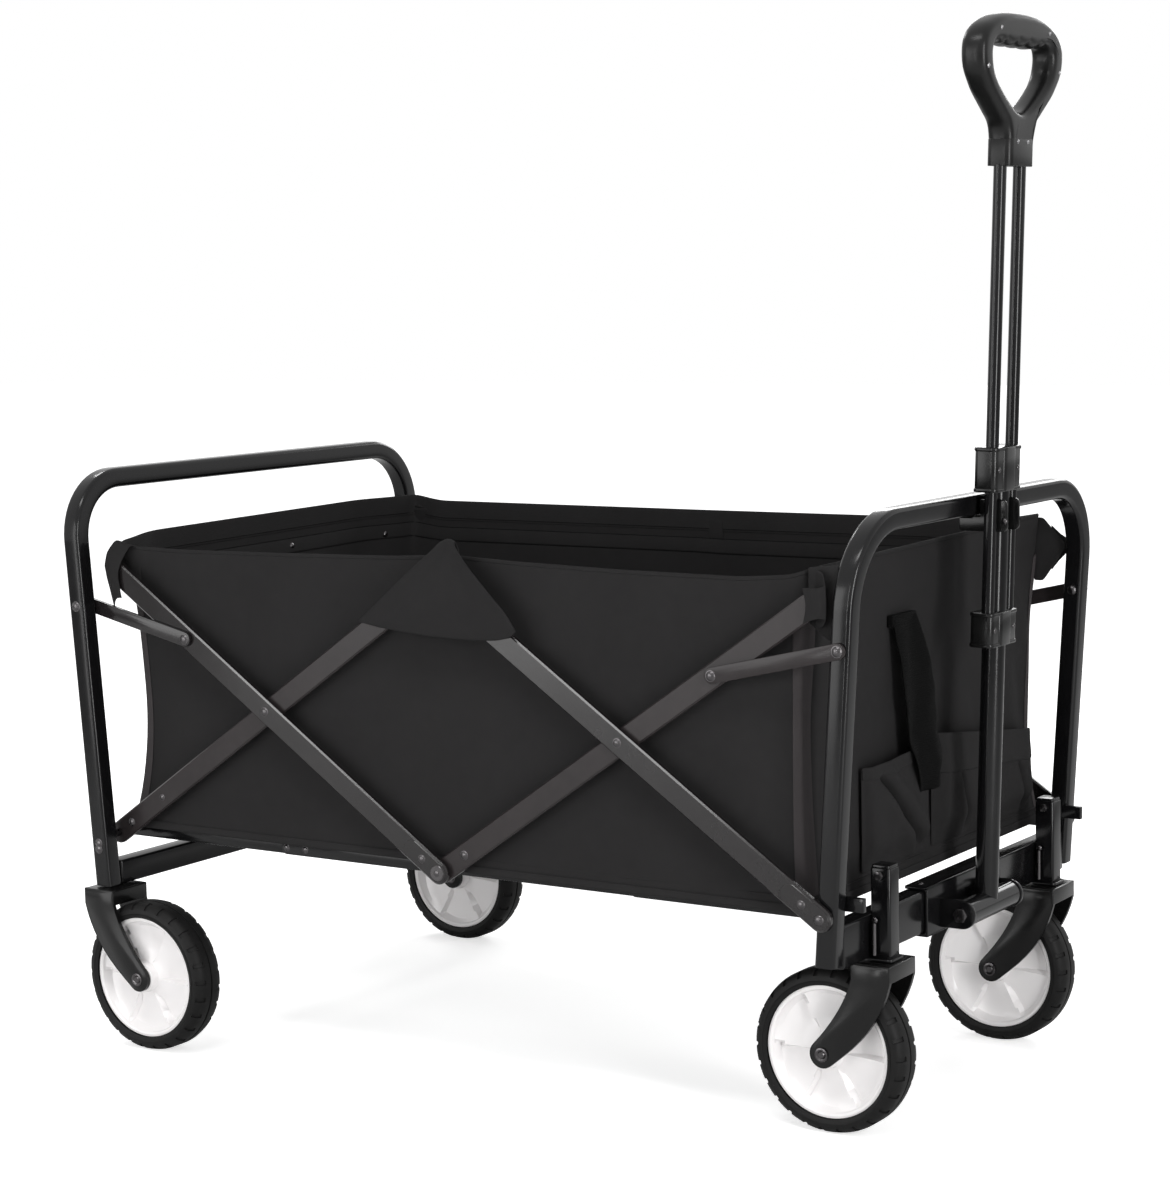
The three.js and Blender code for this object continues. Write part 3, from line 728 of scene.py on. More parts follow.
def make(
    name: str, body: str, finish: Finish, shapes: Iterable[Shape],
    stands_for: Sequence[str] = (), smooth: float = 34.0, wall: Wall | None = None,
) -> bpy.types.Object:
    """Joins shapes into one finished piece.

    Args:
        name: The piece's name.
        body: The body that it rides on.
        finish: Its surface.
        shapes: What it is made of.
        stands_for: The frame's nodes that it replaces.
        smooth: Edges sharper than this many degrees stay crisp.
        wall: The thickness that a sheet gets.

    Returns:
        The piece.
    """
    whole = blank()
    for shape in shapes:
        part = bpy.data.meshes.new("part")
        shape.to_mesh(part)
        shape.free()
        whole.from_mesh(part)
        bpy.data.meshes.remove(part)
    if finish.cloth and not whole.loops.layers.uv.get("cloth"):
        flat_map(whole)
    for face in whole.faces:
        face.smooth = True
    mesh = bpy.data.meshes.new(name)
    whole.to_mesh(mesh)
    whole.free()
    mesh.set_sharp_from_angle(angle=math.radians(smooth))
    mesh.materials.append(finish.material())
    piece = add(name, mesh)
    if wall:
        skin = piece.modifiers.new("wall", "SOLIDIFY")
        skin.thickness, skin.offset = wall.thickness, wall.offset
        if wall.levels:
            subdivide = piece.modifiers.new("smooth", "SUBSURF")
            subdivide.levels = subdivide.render_levels = wall.levels
        settle(piece)
    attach(piece, body)
    if stands_for:
        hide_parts(*stands_for)
    log.info("%s: %d faces on %s", name, len(piece.data.polygons), body)
    return piece


def settle(piece: bpy.types.Object) -> None:
    """Applies a piece's modifiers to its mesh.

    Args:
        piece: The piece, which keeps its name.
    """
    graph = bpy.context.evaluated_depsgraph_get()
    done = bpy.data.meshes.new_from_object(
        piece.evaluated_get(graph), preserve_all_data_layers=True, depsgraph=graph
    )
    old = piece.data
    piece.modifiers.clear()
    piece.data = done
    bpy.data.meshes.remove(old)
    done.name = piece.name


def joint_place(name: str) -> Vector:
    """Where a joint's axis passes."""
    return Vector(next(j for j in frame["joints"] if j["name"] == name)["pos_m"])


HUB = joint_place("hub_right")
FOOT = joint_place("fold")
SPAN = FOOT.x - HUB.x
# Lanes of Y, from the inner to the outer face.
OUTER_BAR = (0.2593, 0.2656)
INNER_BAR = (0.2527, 0.2590)
OUTER_RAIL = (0.2360, 0.2387)
INNER_RAIL = (0.2330, 0.2357)
REAR_FACE = 0.2896
# How far a bar climbs from its foot, and what follows from it.
RISE = 0.284
BAR_LENGTH = math.hypot(SPAN, RISE)
OPEN_ANGLE = math.atan2(RISE, SPAN)
FORK_TOP = 0.166
AXLE_HEIGHT = 0.077
AXLE_RADIUS = 0.0049
PIN_RADIUS = 0.004
HALF_TUBE = 0.010
BEAM_EDGE = 0.0025
CLEARANCE = 0.0003
# Edges sharper than these many degrees stay crisp, on tube and on cloth.
CRISP = 30
CLOTH_SMOOTH = 60


def lane(side: Side, pair: Point) -> Point:
    """A lane of Y, from low to high, on one side of the wagon."""
    return tuple(sorted(side.value * y for y in pair))


def upright_block(
    low: Point, high: Point, bottom: float, top: float, corner: float, edge: float
) -> Shape:
    """A block with round vertical corners, between two corners in XY and two heights.

    Args:
        low: The corner with the lowest X and Y.
        high: The opposite corner.
        bottom: The lower height.
        top: The upper height.
        corner: The vertical corners' radius.
        edge: How far the other edges are eased.

    Returns:
        The shape.
    """
    outline = [(low[0], -low[1]), (high[0], -low[1]), (high[0], -high[1]), (low[0], -high[1])]
    turn = Matrix.Rotation(math.radians(90), 4, "X")
    return placed(plate(outline, bottom, top, corner, edge), turn)


# ---- frames
@dataclass(frozen=True)
class Bow:
    """An upside-down U of square tube that leans with its height.

    Its half width is measured to the tube's middle, and its foot offset from the foot pivot.
    """

    end: End
    half_width: float
    foot_offset: float
    lean: float
    bottom: float
    top: float
    bend: float
    corner: float = 0.0042

    def middle(self, height: float) -> float:
        """X of the tube's middle at a height."""
        offset = SPAN + self.foot_offset + self.lean * (height - FOOT.z)
        return HUB.x + self.end.value * offset

    def tube(self) -> Shape:
        """The bent tube.

        Returns:
            The shape, standing where it belongs.
        """
        run = TubeRun(2 * HALF_TUBE, self.corner)
        up = self.top - self.bend - self.bottom
        reach = self.half_width - self.bend
        run.shift((0, -self.half_width, self.bottom))
        run.straight((0, 0, up))
        run.bend((0, -reach, self.top - self.bend), (1, 0, 0), -90)
        run.straight((0, 2 * reach, 0))
        run.bend((0, reach, self.top - self.bend), (1, 0, 0), -90)
        run.straight((0, 0, -up))
        shear = Matrix.Identity(4)
        shear[0][2] = self.end.value * self.lean
        shear[0][3] = self.middle(0.0)
        return placed(run.close(), shear)


@dataclass
class FrontFrame:
    """The front bow, its cross beam, caster posts and what holds the handle."""

    body: str = "front_frame"
    bow: Bow = Bow(End.FRONT, 0.249, 0.003, 0.065, 0.173, 0.5646, 0.075)
    foot_lane: Point = (0.2360, 0.2662)
    hook_lane: Point = (0.2340, 0.2400)
    post_x: float = HUB.x + SPAN + 0.0196
    post_y: float = 0.178
    post_height: float = 0.088
    beam_reach: float = 0.2387
    beam_bottom: float = 0.168
    beam_top: float = 0.208
    saddle_reach: float = 0.080
    saddle_wall: float = 0.0035
    saddle_screw: float = 0.068
    ear_reach: float = 0.0138
    ear_lane: Point = (0.0503, 0.0543)
    catch_lane: Point = (0.0116, 0.0146)
    catch_length: float = 0.028
    catch_drop: float = 0.014

    @property
    def beam_x(self) -> float:
        """X of the cross beam's middle, right behind the caster posts."""
        return self.post_x - HALF_TUBE - CLEARANCE - HALF_TUBE

    def build(self) -> None:
        """Makes every piece of the front frame."""
        self.frame_tube()
        self.cross_beam()
        for side in Side:
            self.post(side)
        self.saddle()
        self.catch()

    def frame_tube(self) -> None:
        """The bow with its two hook stubs, and the rivets at its feet."""
        shapes, rivets = [self.bow.tube()], []
        hook_z = FOOT.z + 0.004
        hook_x = self.bow.middle(hook_z) + HALF_TUBE
        for side in Side:
            low, high = lane(side, self.hook_lane)
            shapes.append(
                block((hook_x - 0.004, low, hook_z), (hook_x + 0.017, high, hook_z + 0.013))
            )
            rivets += [
                pin(PIN_RADIUS, FOOT.x, FOOT.z, *lane(side, self.foot_lane)),
                dome(FOOT.x, side.value * 0.2659, FOOT.z, side),
                dome(FOOT.x, side.value * 0.2352, FOOT.z, side.other),
            ]
        make("front_bow", self.body, BLACK_COAT, shapes, ["front_frame_tube"], CRISP)
        make("front_foot_rivets", self.body, RIVET, rivets)

    def cross_beam(self) -> None:
        """The flat beam between the uprights."""
        x, reach = self.beam_x, self.beam_reach
        low = (x - HALF_TUBE, -reach, self.beam_bottom)
        high = (x + HALF_TUBE, reach, self.beam_top)
        beam = block(low, high, BEAM_EDGE)
        make("front_cross_beam", self.body, BLACK_COAT, [beam], ["front_cross_tube"])

    def post(self, side: Side) -> None:
        """A caster post with its cap, through bolt and lock pin.

        Args:
            side: Which of the two.
        """
        x, y = self.post_x, side.value * self.post_y
        foot = FORK_TOP + CLEARANCE
        top = foot + self.post_height

        def around(half: float) -> tuple[Point, Point]:
            """Opposite corners of a square round the post's middle."""
            return (x - half, y - half), (x + half, y + half)

        shapes = [
            upright_block(*around(HALF_TUBE), foot, top - 0.003, 0.0028, 0.0008),
            upright_block(*around(HALF_TUBE - 0.0008), top - 0.0045, top, 0.0024, 0.0014),
            upright_block(*around(0.013), foot, FORK_TOP + 0.0035, 0.004, 0.0008),
        ]
        node = f"caster_post_{side.word}"
        make(f"caster_tube_{side.word}", self.body, BLACK_COAT, shapes, [node])
        bolt_z = top - 0.009
        bolts = [hexagon(x, y + s.value * HALF_TUBE, bolt_z, s, 0.0092, 0.0036) for s in Side]
        lock_x, lock_y = x - 0.004, y - 0.0135
        low, high = (Vector((lock_x, lock_y, FORK_TOP + rise)) for rise in (0.006, 0.036))
        bolts.append(rod(0.0022, low, high))
        bolts.append(dome(lock_x, y - 0.0128, FORK_TOP + 0.038, Side.RIGHT, 0.0032))
        make(f"caster_post_bolts_{side.word}", self.body, RIVET, bolts)

    def saddle(self) -> None:
        """The channel round the cross beam, with the ears for the handle's pivot bolt."""
        thick, reach = self.saddle_wall, self.saddle_reach
        face, back = self.beam_x + HALF_TUBE + CLEARANCE, self.beam_x - HALF_TUBE
        bottom, top = self.beam_bottom - CLEARANCE, self.beam_top + CLEARANCE
        shapes = [
            block((back, -reach, top), (face + thick, reach, top + thick), 0.0012),
            block((back, -reach, bottom - thick), (face + thick, reach, bottom), 0.0012),
            block((face, -reach, bottom - thick), (face + thick, reach, top + thick), 0.0012),
        ]
        pivot = joint_place("handle_tilt")
        ear = self.ear_reach
        outline = [
            (face + 0.001, pivot.z - ear), (pivot.x + ear, pivot.z - ear),
            (pivot.x + ear, pivot.z + ear), (face + 0.001, pivot.z + ear),
        ]
        rounds = [0, 0.0135, 0.0135, 0]
        shapes += [plate(outline, *lane(side, self.ear_lane), rounds) for side in Side]
        make("handle_saddle", self.body, BLACK_COAT, shapes, ["handle_bracket"])
        upwards = Matrix.Rotation(math.radians(90), 4, "X")
        fixings = [
            placed(dome(0, 0, 0, Side.LEFT, 0.0042), at(self.beam_x, y, top + thick) @ upwards)
            for y in (-self.saddle_screw, self.saddle_screw)
        ]
        fixings += [hexagon(pivot.x, s.value * 0.0546, pivot.z, s, 0.015, 0.0038) for s in Side]
        fixings.append(pin(AXLE_RADIUS, pivot.x, pivot.z, -0.054, 0.054))
        make("handle_pivot", self.body, RIVET, fixings, ["handle_pivot_bolt"])

    def catch(self) -> None:
        """The clip on the bow's top bar that holds the handle's tube."""
        x, top = self.bow.middle(self.bow.top), self.bow.top + 0.005
        half_bar = HALF_TUBE * (1 + self.bow.lean) + CLEARANCE
        under = self.bow.top - half_bar
        back, front = x - HALF_TUBE, x + half_bar
        tip, low = front + self.catch_length, under - self.catch_drop
        outline = [
            (back, low), (tip, low), (tip, top),
            (front + 0.0002, top), (front + 0.0002, under), (back, under),
        ]
        rounds = [0.003, 0.005, 0.005, 0.001, 0, 0.001]
        shapes = [plate(outline, *lane(side, self.catch_lane), rounds) for side in Side]
        outer = self.catch_lane[1]
        shapes.append(block((back, -outer, under - 0.003), (x + 0.005, outer, under), 0.0008))
        make("handle_catch", self.body, COLLAR_PLASTIC, shapes, ["handle_clip"])
        spot = front + 0.0255
        buttons = [dome(spot, s.value * outer, under - 0.004, s, 0.003) for s in Side]
        make("handle_catch_screws", self.body, RIVET, buttons)


@dataclass
class RearFrame:
    """The rear bow and its cross beam."""

    body: str = "rear_frame"
    bow: Bow = Bow(End.REAR, 0.2796, 0.001, 0.07, 0.1672, 0.5843, 0.062)
    beam_reach: float = 0.2695
    foot_lane: Point = (0.2335, 0.2894)
    beam_height: float = 0.025
    foot_screw_z: float = 0.206

    def build(self) -> None:
        """Makes every piece of the rear frame."""
        x = HUB.x - SPAN
        low = self.foot_screw_z
        rivets = []
        for side in Side:
            face = side.value * REAR_FACE
            rivets += [
                pin(PIN_RADIUS, x, FOOT.z, *lane(side, self.foot_lane)),
                dome(x, face, FOOT.z - 0.006, side, 0.005),
                dome(x, side.value * 0.2330, FOOT.z, side.other),
                dome(self.bow.middle(low), face, low, side, 0.005),
            ]
        make("rear_bow", self.body, BLACK_COAT, [self.bow.tube()], ["rear_frame_tube"], CRISP)
        make("rear_foot_rivets", self.body, RIVET, rivets)
        z = FORK_TOP + CLEARANCE
        middle, reach = self.bow.middle(z + self.beam_height / 2), self.beam_reach
        corner = (middle + HALF_TUBE, reach, z + self.beam_height)
        beam = block((middle - HALF_TUBE, -reach, z), corner, BEAM_EDGE)
        make("rear_cross_beam", self.body, BLACK_COAT, [beam], ["rear_cross_tube"])


# ---- wheels
@dataclass
class Fork:
    """A pressed fork: a top plate with a skirt, and two curved arms down to the axle.

    Its swing is 1 where its arms trail backwards, and -1 where they reach forwards.
    """

    x: float
    y: float
    swing: int
    trail: float = 0.052
    inner: float = 0.0215
    wall: float = 0.004
    eye: float = 0.013

    def arm_outline(self) -> list[Point]:
        """The outline of an arm, from the top plate down to its round eye.

        Returns:
            The outline from the fork's top middle.
        """
        eye_x, eye_z = -self.trail, AXLE_HEIGHT - FORK_TOP
        front, back, skirt = 0.017, -0.022, -0.016
        points = [(front, -CLEARANCE), (back, -CLEARANCE), (back, skirt)]
        points += self.bow_points(
            (back, skirt), (-0.031, eye_z + 0.042), (eye_x - 0.0092, eye_z + 0.0092)
        )
        for step in range(1, 15):
            turn = math.radians(135 + step * 189 / 15)
            points.append((eye_x + self.eye * math.cos(turn), eye_z + self.eye * math.sin(turn)))
        points += self.bow_points(
            (eye_x + 0.0105, eye_z - 0.0076), (0.006, eye_z + 0.027), (front, skirt)
        )
        return [(self.swing * x, z) for x, z in points]

    @staticmethod
    def bow_points(start: Point, pull: Point, end: Point, steps: int = 9) -> list[Point]:
        """Points of a curve that leaves its start towards a pull point and reaches its end.

        Args:
            start: Where it starts.
            pull: Where it is pulled to.
            end: Where it ends.
            steps: How many points it gets.

        Returns:
            The points after the start.
        """
        found = []
        for step in range(1, steps + 1):
            t = step / steps
            a, b, c = (1 - t) ** 2, 2 * t * (1 - t), t * t
            found.append(tuple(a * start[i] + b * pull[i] + c * end[i] for i in range(2)))
        return found

    def shapes(self) -> list[Shape]:
        """The fork's pressed parts.

        Returns:
            The crown and the two arms.
        """
        outer = self.inner + self.wall
        half = outer + 0.0005
        crown = block((-0.0222, -half, -0.0160), (0.0172, half, -0.0002), 0.0016)
        if self.swing < 0:
            crown = placed(crown, Matrix.Rotation(math.pi, 4, "Z"))
        made = [crown]
        for side in Side:
            arm = plate(self.arm_outline(), *lane(side, (self.inner, outer)), 0.0, 0.0)
            cheeks = [
                face for face in arm.faces
                if abs(face.normal.y) > 0.9
                and side.value * face.calc_center_median().y > outer - 0.0002
            ]
            for inset, depth in ((0.0012, 0.0), (0.0022, 0.0014)):
                bmesh.ops.inset_region(
                    arm, faces=cheeks, thickness=inset, depth=depth, use_even_offset=True
                )
            made.append(arm)
        return [placed(shape, at(self.x, self.y, FORK_TOP)) for shape in made]

    def axle_ends(self) -> list[Shape]:
        """The axle with its two heads.

        Returns:
            The heads and the axle.
        """
        x, outer = self.x - self.swing * self.trail, self.inner + self.wall + 0.0014
        profile = [
            (0.0, 0.0023), (0.0028, 0.0023), (0.0036, 0.0013), (0.0052, 0.0022),
            (0.0066, 0.0018), (0.0070, 0.0), (0.0, 0.0),
        ]
        made = []
        for side in Side:
            y = self.y + side.value * (outer - 0.0008)
            made.append(facing(lathe(profile, 28), side, x, y, AXLE_HEIGHT))
        made.append(pin(AXLE_RADIUS, x, AXLE_HEIGHT, self.y - outer, self.y + outer))
        return made


@dataclass
class Wheel:
    """A spoked white disc with a lugged rubber tyre."""

    x: float
    y: float
    radius: float = 0.0769
    half_tyre: float = 0.019
    tyre_height: float = 0.0146
    tyre_steps: int = 104
    groove_depth: float = 0.0013
    disc_steps: int = 96
    blades: int = 6
    blade_depth: float = 0.0062
    blade_start: float = 0.0175
    blade_end: float = 0.0560

    def tyre(self) -> Shape:
        """The tyre, with grooves cut across its shoulders.

        Returns:
            The shape.
        """
        r, w = self.radius, self.half_tyre
        inner = r - self.tyre_height
        half = [
            (inner, 0.0012 - w), (inner + 0.0035, 0.0002 - w), (r - 0.0115, 0.0008 - w),
            (r - 0.0100, -w), (r - 0.0060, 0.0009 - w), (r - 0.0018, 0.0046 - w),
            (r, 0.0105 - w), (r, -0.0012),
        ]
        shape = lathe(mirrored(half), self.tyre_steps, True)
        grooves = []
        for face in shape.faces:
            middle = face.calc_center_median()
            turn = round((math.atan2(middle.z, middle.x) / (2 * math.pi)) * self.tyre_steps - 0.5)
            shoulder = w - 0.0108 < abs(middle.y) < w - 0.0008 and middle.xz.length > r - 0.0045
            crown = abs(middle.y) < 0.0009
            if (shoulder and turn % 4 == (0 if middle.y < 0 else 2)) or crown:
                grooves.append(face)
        bmesh.ops.inset_region(
            shape, faces=grooves, thickness=0.0003, depth=-self.groove_depth,
            use_even_offset=True,
        )
        return placed(shape, at(self.x, self.y, AXLE_HEIGHT))

    def disc(self) -> Shape:
        """The hub and disc, its faces pressed into slanting blades.

        Returns:
            The shape.
        """
        rim = self.radius - 0.0150
        half = [
            (0.0054, 0.0203), (0.0128, 0.0203), (0.0146, 0.0186), (0.0156, 0.0120),
            (0.0185, 0.0112), (0.0240, 0.0110), (0.0320, 0.0108), (0.0400, 0.0108),
            (0.0470, 0.0110), (0.0530, 0.0118), (0.0568, 0.0126), (0.0580, 0.0150),
            (rim - 0.0022, 0.0160), (rim, 0.0157),
        ]
        shape = lathe(mirrored(half), self.disc_steps, True)
        start = self.blade_start
        for vert in shape.verts:
            radius = vert.co.xz.length
            if start < radius < self.blade_end and abs(vert.co.y) > 0.004:
                turn = math.atan2(vert.co.z, vert.co.x) / (2 * math.pi)
                share = (turn * self.blades) % 1.0
                fade = min(1.0, (radius - start) / 0.010) * min(1.0, (0.0585 - radius) / 0.006)
                depth = self.blade_depth * fade * (1 - share)
                vert.co.y -= math.copysign(depth, vert.co.y)
        return placed(shape, at(self.x, self.y, AXLE_HEIGHT))


class Running:
    """The four wheels in their forks."""

    def build(self) -> None:
        """Makes the front casters and the rear wheel sets."""
        for side in Side:
            swivel = joint_place(f"caster_swivel_{side.word}")
            fork = Fork(swivel.x, swivel.y, 1)
            self.wheel_set("front", side, fork, f"caster_{side.word}")
            spin = joint_place(f"rear_wheel_spin_{side.word}")
            fork = Fork(spin.x - Fork.trail, spin.y, -1)
            self.wheel_set("rear", side, fork, "rear_frame")

    def wheel_set(self, end: str, side: Side, fork: Fork, body: str) -> None:
        """Makes a fork, its axle and its wheel.

        Args:
            end: The end's name.
            side: The side.
            fork: The fork that holds the wheel.
            body: The body that the fork rides on.
        """
        word = f"{end}_{side.word}"
        make(f"fork_{word}", body, FORK_COAT, fork.shapes(), [f"{word}_fork"], 40)
        make(f"axle_{word}", body, RIVET, fork.axle_ends(), [f"{word}_axle"])
        spin = joint_place(f"{end}_wheel_spin_{side.word}")
        wheel = Wheel(spin.x, spin.y)
        rolling = f"{end}_wheel_{side.word}"
        make(f"tyre_{word}", rolling, TYRE_RUBBER, [wheel.tyre()], [f"{word}_tyre"], 38)
        make(f"disc_{word}", rolling, WHEEL_PLASTIC, [wheel.disc()], [f"{word}_hub"], 24)


# ---- scissors, links and rails
@dataclass(frozen=True)
class Bar:
    """A folding bar: where its foot pivot is along X, how it leans, and its rivets.

    Each rivet is given as (distance from the foot pivot, radius).
    """

    name: str
    finish: Finish
    room: Point
    length: float
    foot: float
    angle: float
    rivets: tuple[Point, ...]


@dataclass
class Scissors:
    """The folding bars, corner links and floor rails on both sides."""

    width: float = 0.0225
    chamfer: float = 0.0015
    upper_short: float = 0.01525
    pair_gap: float = 0.0215
    rivet: float = 0.0046
    small_rivet: float = 0.0034
    hub_washer: float = 0.0078
    cuff_length: float = 0.0360
    cuff_inset: float = 0.0034
    cuff_proud: float = 0.0007
    link_width: float = 0.0148
    link_drop: float = 0.1318
    front_link_lane: Point = (0.2593, 0.2629)
    rear_link_lane: Point = (0.2659, 0.2695)
    rail_width: float = 0.0138
    rail_rivet: float = 0.0038
    rail_lap: float = 0.024

    def build(self) -> None:
        """Makes both sides."""
        for side in Side:
            for bar in self.bars():
                self.bar(side, bar)
            for end in End:
                self.link(side, end)
            self.rails(side)

    def bars(self) -> list[Bar]:
        """The four bars of a side.

        Returns:
            The bars, from the front foot to the rear foot.
        """
        half, short = BAR_LENGTH / 2, BAR_LENGTH - self.upper_short
        ahead, back = OPEN_ANGLE, math.pi - OPEN_ANGLE
        r, small, gap = self.rivet, self.small_rivet, self.pair_gap
        return [
            Bar("front_lower", BAR_COAT, OUTER_BAR, BAR_LENGTH, SPAN, back,
                ((gap, r), (half, r), (BAR_LENGTH, r))),
            Bar("front_upper", GREY_COAT, INNER_BAR, short, 0.0, ahead, ((0.0335, r),)),
            Bar("rear_upper", BAR_COAT, OUTER_BAR, short, 0.0, back,
                ((0.0, r), (gap, r), (half, r))),
            Bar("rear_lower", GREY_COAT, INNER_BAR, BAR_LENGTH, -SPAN, ahead,
                ((0.0225, r), (0.075, small))),
        ]

    def bar(self, side: Side, bar: Bar) -> None:
        """Makes a bar and its rivets. The outer bars have a raised cuff at the foot.

        Args:
            side: The side.
            bar: The bar.
        """
        body = f"bar_{bar.name}_{side.word}"
        place = at(HUB.x + bar.foot, 0, FOOT.z) @ Matrix.Rotation(-bar.angle, 4, "Y")
        blade = plate(
            self.capsule(0.0, bar.length, self.width), *lane(side, bar.room), 0.0, 0.0
        )
        shapes = [ease(blade, self.chamfer, 1, clamp=False)]
        face, outer = side.value * bar.room[1], bar.room is OUTER_BAR
        if outer:
            outline = self.capsule(0.0, self.cuff_length, self.width - self.cuff_inset)
            low, high = face - self.cuff_proud, face + self.cuff_proud
            shapes.append(ease(plate(outline, low, high, 0.0, 0.0), 0.0005, 1, clamp=False))
        shapes = [placed(shape, place) for shape in shapes]
        make(f"scissor_{bar.name}_{side.word}", body, bar.finish, shapes, [body])
        heads = []
        for along, radius in bar.rivets:
            point = place @ Vector((along, 0, 0))
            y = face + side.value * (0.0005 if outer and along < 0.04 else 0.0)
            heads.append(dome(point.x, y, point.z, side, radius))
            if along == 0.0:
                heads.append(washer(point.x, y, point.z, side, self.hub_washer))
        make(f"rivets_{bar.name}_{side.word}", body, RIVET, heads)

    @staticmethod
    def capsule(start: float, end: float, width: float, steps: int = 14) -> list[Point]:
        """The outline of a bar whose round ends have their centres at start and end.

        Args:
            start: X of one end's centre.
            end: X of the other end's centre.
            width: The bar's width.
            steps: Steps round each end.

        Returns:
            The outline, with X along the bar.
        """
        r = width / 2
        turns = [math.pi * (k / steps - 0.5) for k in range(steps + 1)]
        right = [(end + r * math.cos(turn), r * math.sin(turn)) for turn in turns]
        return right + [(start - r * math.cos(turn), -r * math.sin(turn)) for turn in turns]

    @staticmethod
    def strip(start: float, end: float, width: float) -> list[Point]:
        """The corners of a bar that lies along X; its ends are rounded afterwards.

        Args:
            start: X of one pivot.
            end: X of the other pivot.
            width: The bar's width.

        Returns:
            The four corners.
        """
        half = width / 2
        low, high = start - half, end + half
        return [(low, -half), (high, -half), (high, half), (low, half)]

    def link(self, side: Side, end: End) -> None:
        """Makes a corner link with its rivets.

        Args:
            side: The side.
            end: The end.
        """
        body = f"corner_link_{end.word}_{side.word}"
        pivot = joint_place(f"{body}_turn")
        reach = BAR_LENGTH - self.link_drop
        eye = Vector((
            HUB.x + end.value * (SPAN - self.link_drop * math.cos(OPEN_ANGLE)), 0,
            FOOT.z + reach * math.sin(OPEN_ANGLE),
        ))
        across = eye - Vector((pivot.x, 0, pivot.z))
        front = end is End.FRONT
        room, finish = self.rear_link_lane, BAR_COAT
        if front:
            room, finish = self.front_link_lane, GREY_COAT
        angle = math.atan2(across.z, across.x)
        place = at(pivot.x, 0, pivot.z) @ Matrix.Rotation(-angle, 4, "Y")
        outline = self.strip(0, across.length, self.link_width)
        shape = plate(outline, *lane(side, room), 0.00735, 0.0010)
        make(f"link_{end.word}_{side.word}", body, finish, [placed(shape, place)], [body])
        face = side.value * room[1]
        outside = face if front else side.value * REAR_FACE
        heads = [
            dome(eye.x, face, eye.z, side, 0.0052), dome(pivot.x, outside, pivot.z, side, 0.0055),
        ]
        if front:
            inside = side.value * 0.2388
            heads.append(dome(pivot.x, inside, pivot.z, side.other, 0.0055))
        make(f"link_rivets_{end.word}_{side.word}", body, RIVET, heads)

    def rails(self, side: Side) -> None:
        """Makes the four floor rails on one side, with the rivets at their laps.

        Args:
            side: The side.
        """
        half = SPAN / 2
        table = [
            ("rail_front_foot", OUTER_RAIL, SPAN, -1), ("rail_front_hub", INNER_RAIL, 0.0, 1),
            ("rail_rear_hub", OUTER_RAIL, 0.0, -1), ("rail_rear_foot", INNER_RAIL, -SPAN, 1),
        ]
        for name, room, x, way in table:
            body = f"{name}_{side.word}"
            lap = x + way * half
            outline = self.strip(*sorted((x, lap)), self.rail_width)
            shape = plate(outline, *lane(side, room), 0.0068, 0.0006)
            rail = placed(shape, at(HUB.x, 0, FOOT.z))
            make(f"floor_{name}_{side.word}", body, BLACK_COAT, [rail], [body])
            if room is OUTER_RAIL:
                heads = [
                    dome(HUB.x + lap - way * d, side.value * room[1], FOOT.z, side,
                         self.rail_rivet)
                    for d in (0.0, self.rail_lap)
                ]
                make(f"rivets_{name}_{side.word}", body, RIVET, heads)


# ---- cloth
def smooth_step(value: float) -> float:
    """An even S curve from 0 to 1."""
    value = min(1.0, max(0.0, value))
    return value * value * (3 - 2 * value)


def ripple(x: float, y: float, z: float, scale: float) -> float:
    """Smooth noise from -1 to 1."""
    return noise.noise(Vector((x, y, z)) * scale)


def soften(piece: bpy.types.Object) -> None:
    """Gives a piece on the basket its own copy of its mesh."""
    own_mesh(piece)


def between(table: Sequence[Point], value: float) -> float:
    """Reads a table of (place, size) with straight lines between its entries.

    Args:
        table: The entries, by rising place.
        value: The place that is looked up.

    Returns:
        The size there.
    """
    for (x, low), (after, high) in zip(table, table[1:]):
        if value <= after:
            return low + (high - low) * max(0.0, (value - x) / (after - x))
    return table[-1][1]


def row_at(rows: Rows, place: float) -> list[float]:
    """Reads rows of sizes at a place between two of them, where 0 is the first row.

    Args:
        rows: The rows.
        place: The place, counted in rows.

    Returns:
        The sizes there.
    """
    spot = min(int(place), len(rows) - 2)
    share = min(1.0, place - spot)
    return [p + (q - p) * share for p, q in zip(rows[spot], rows[spot + 1])]


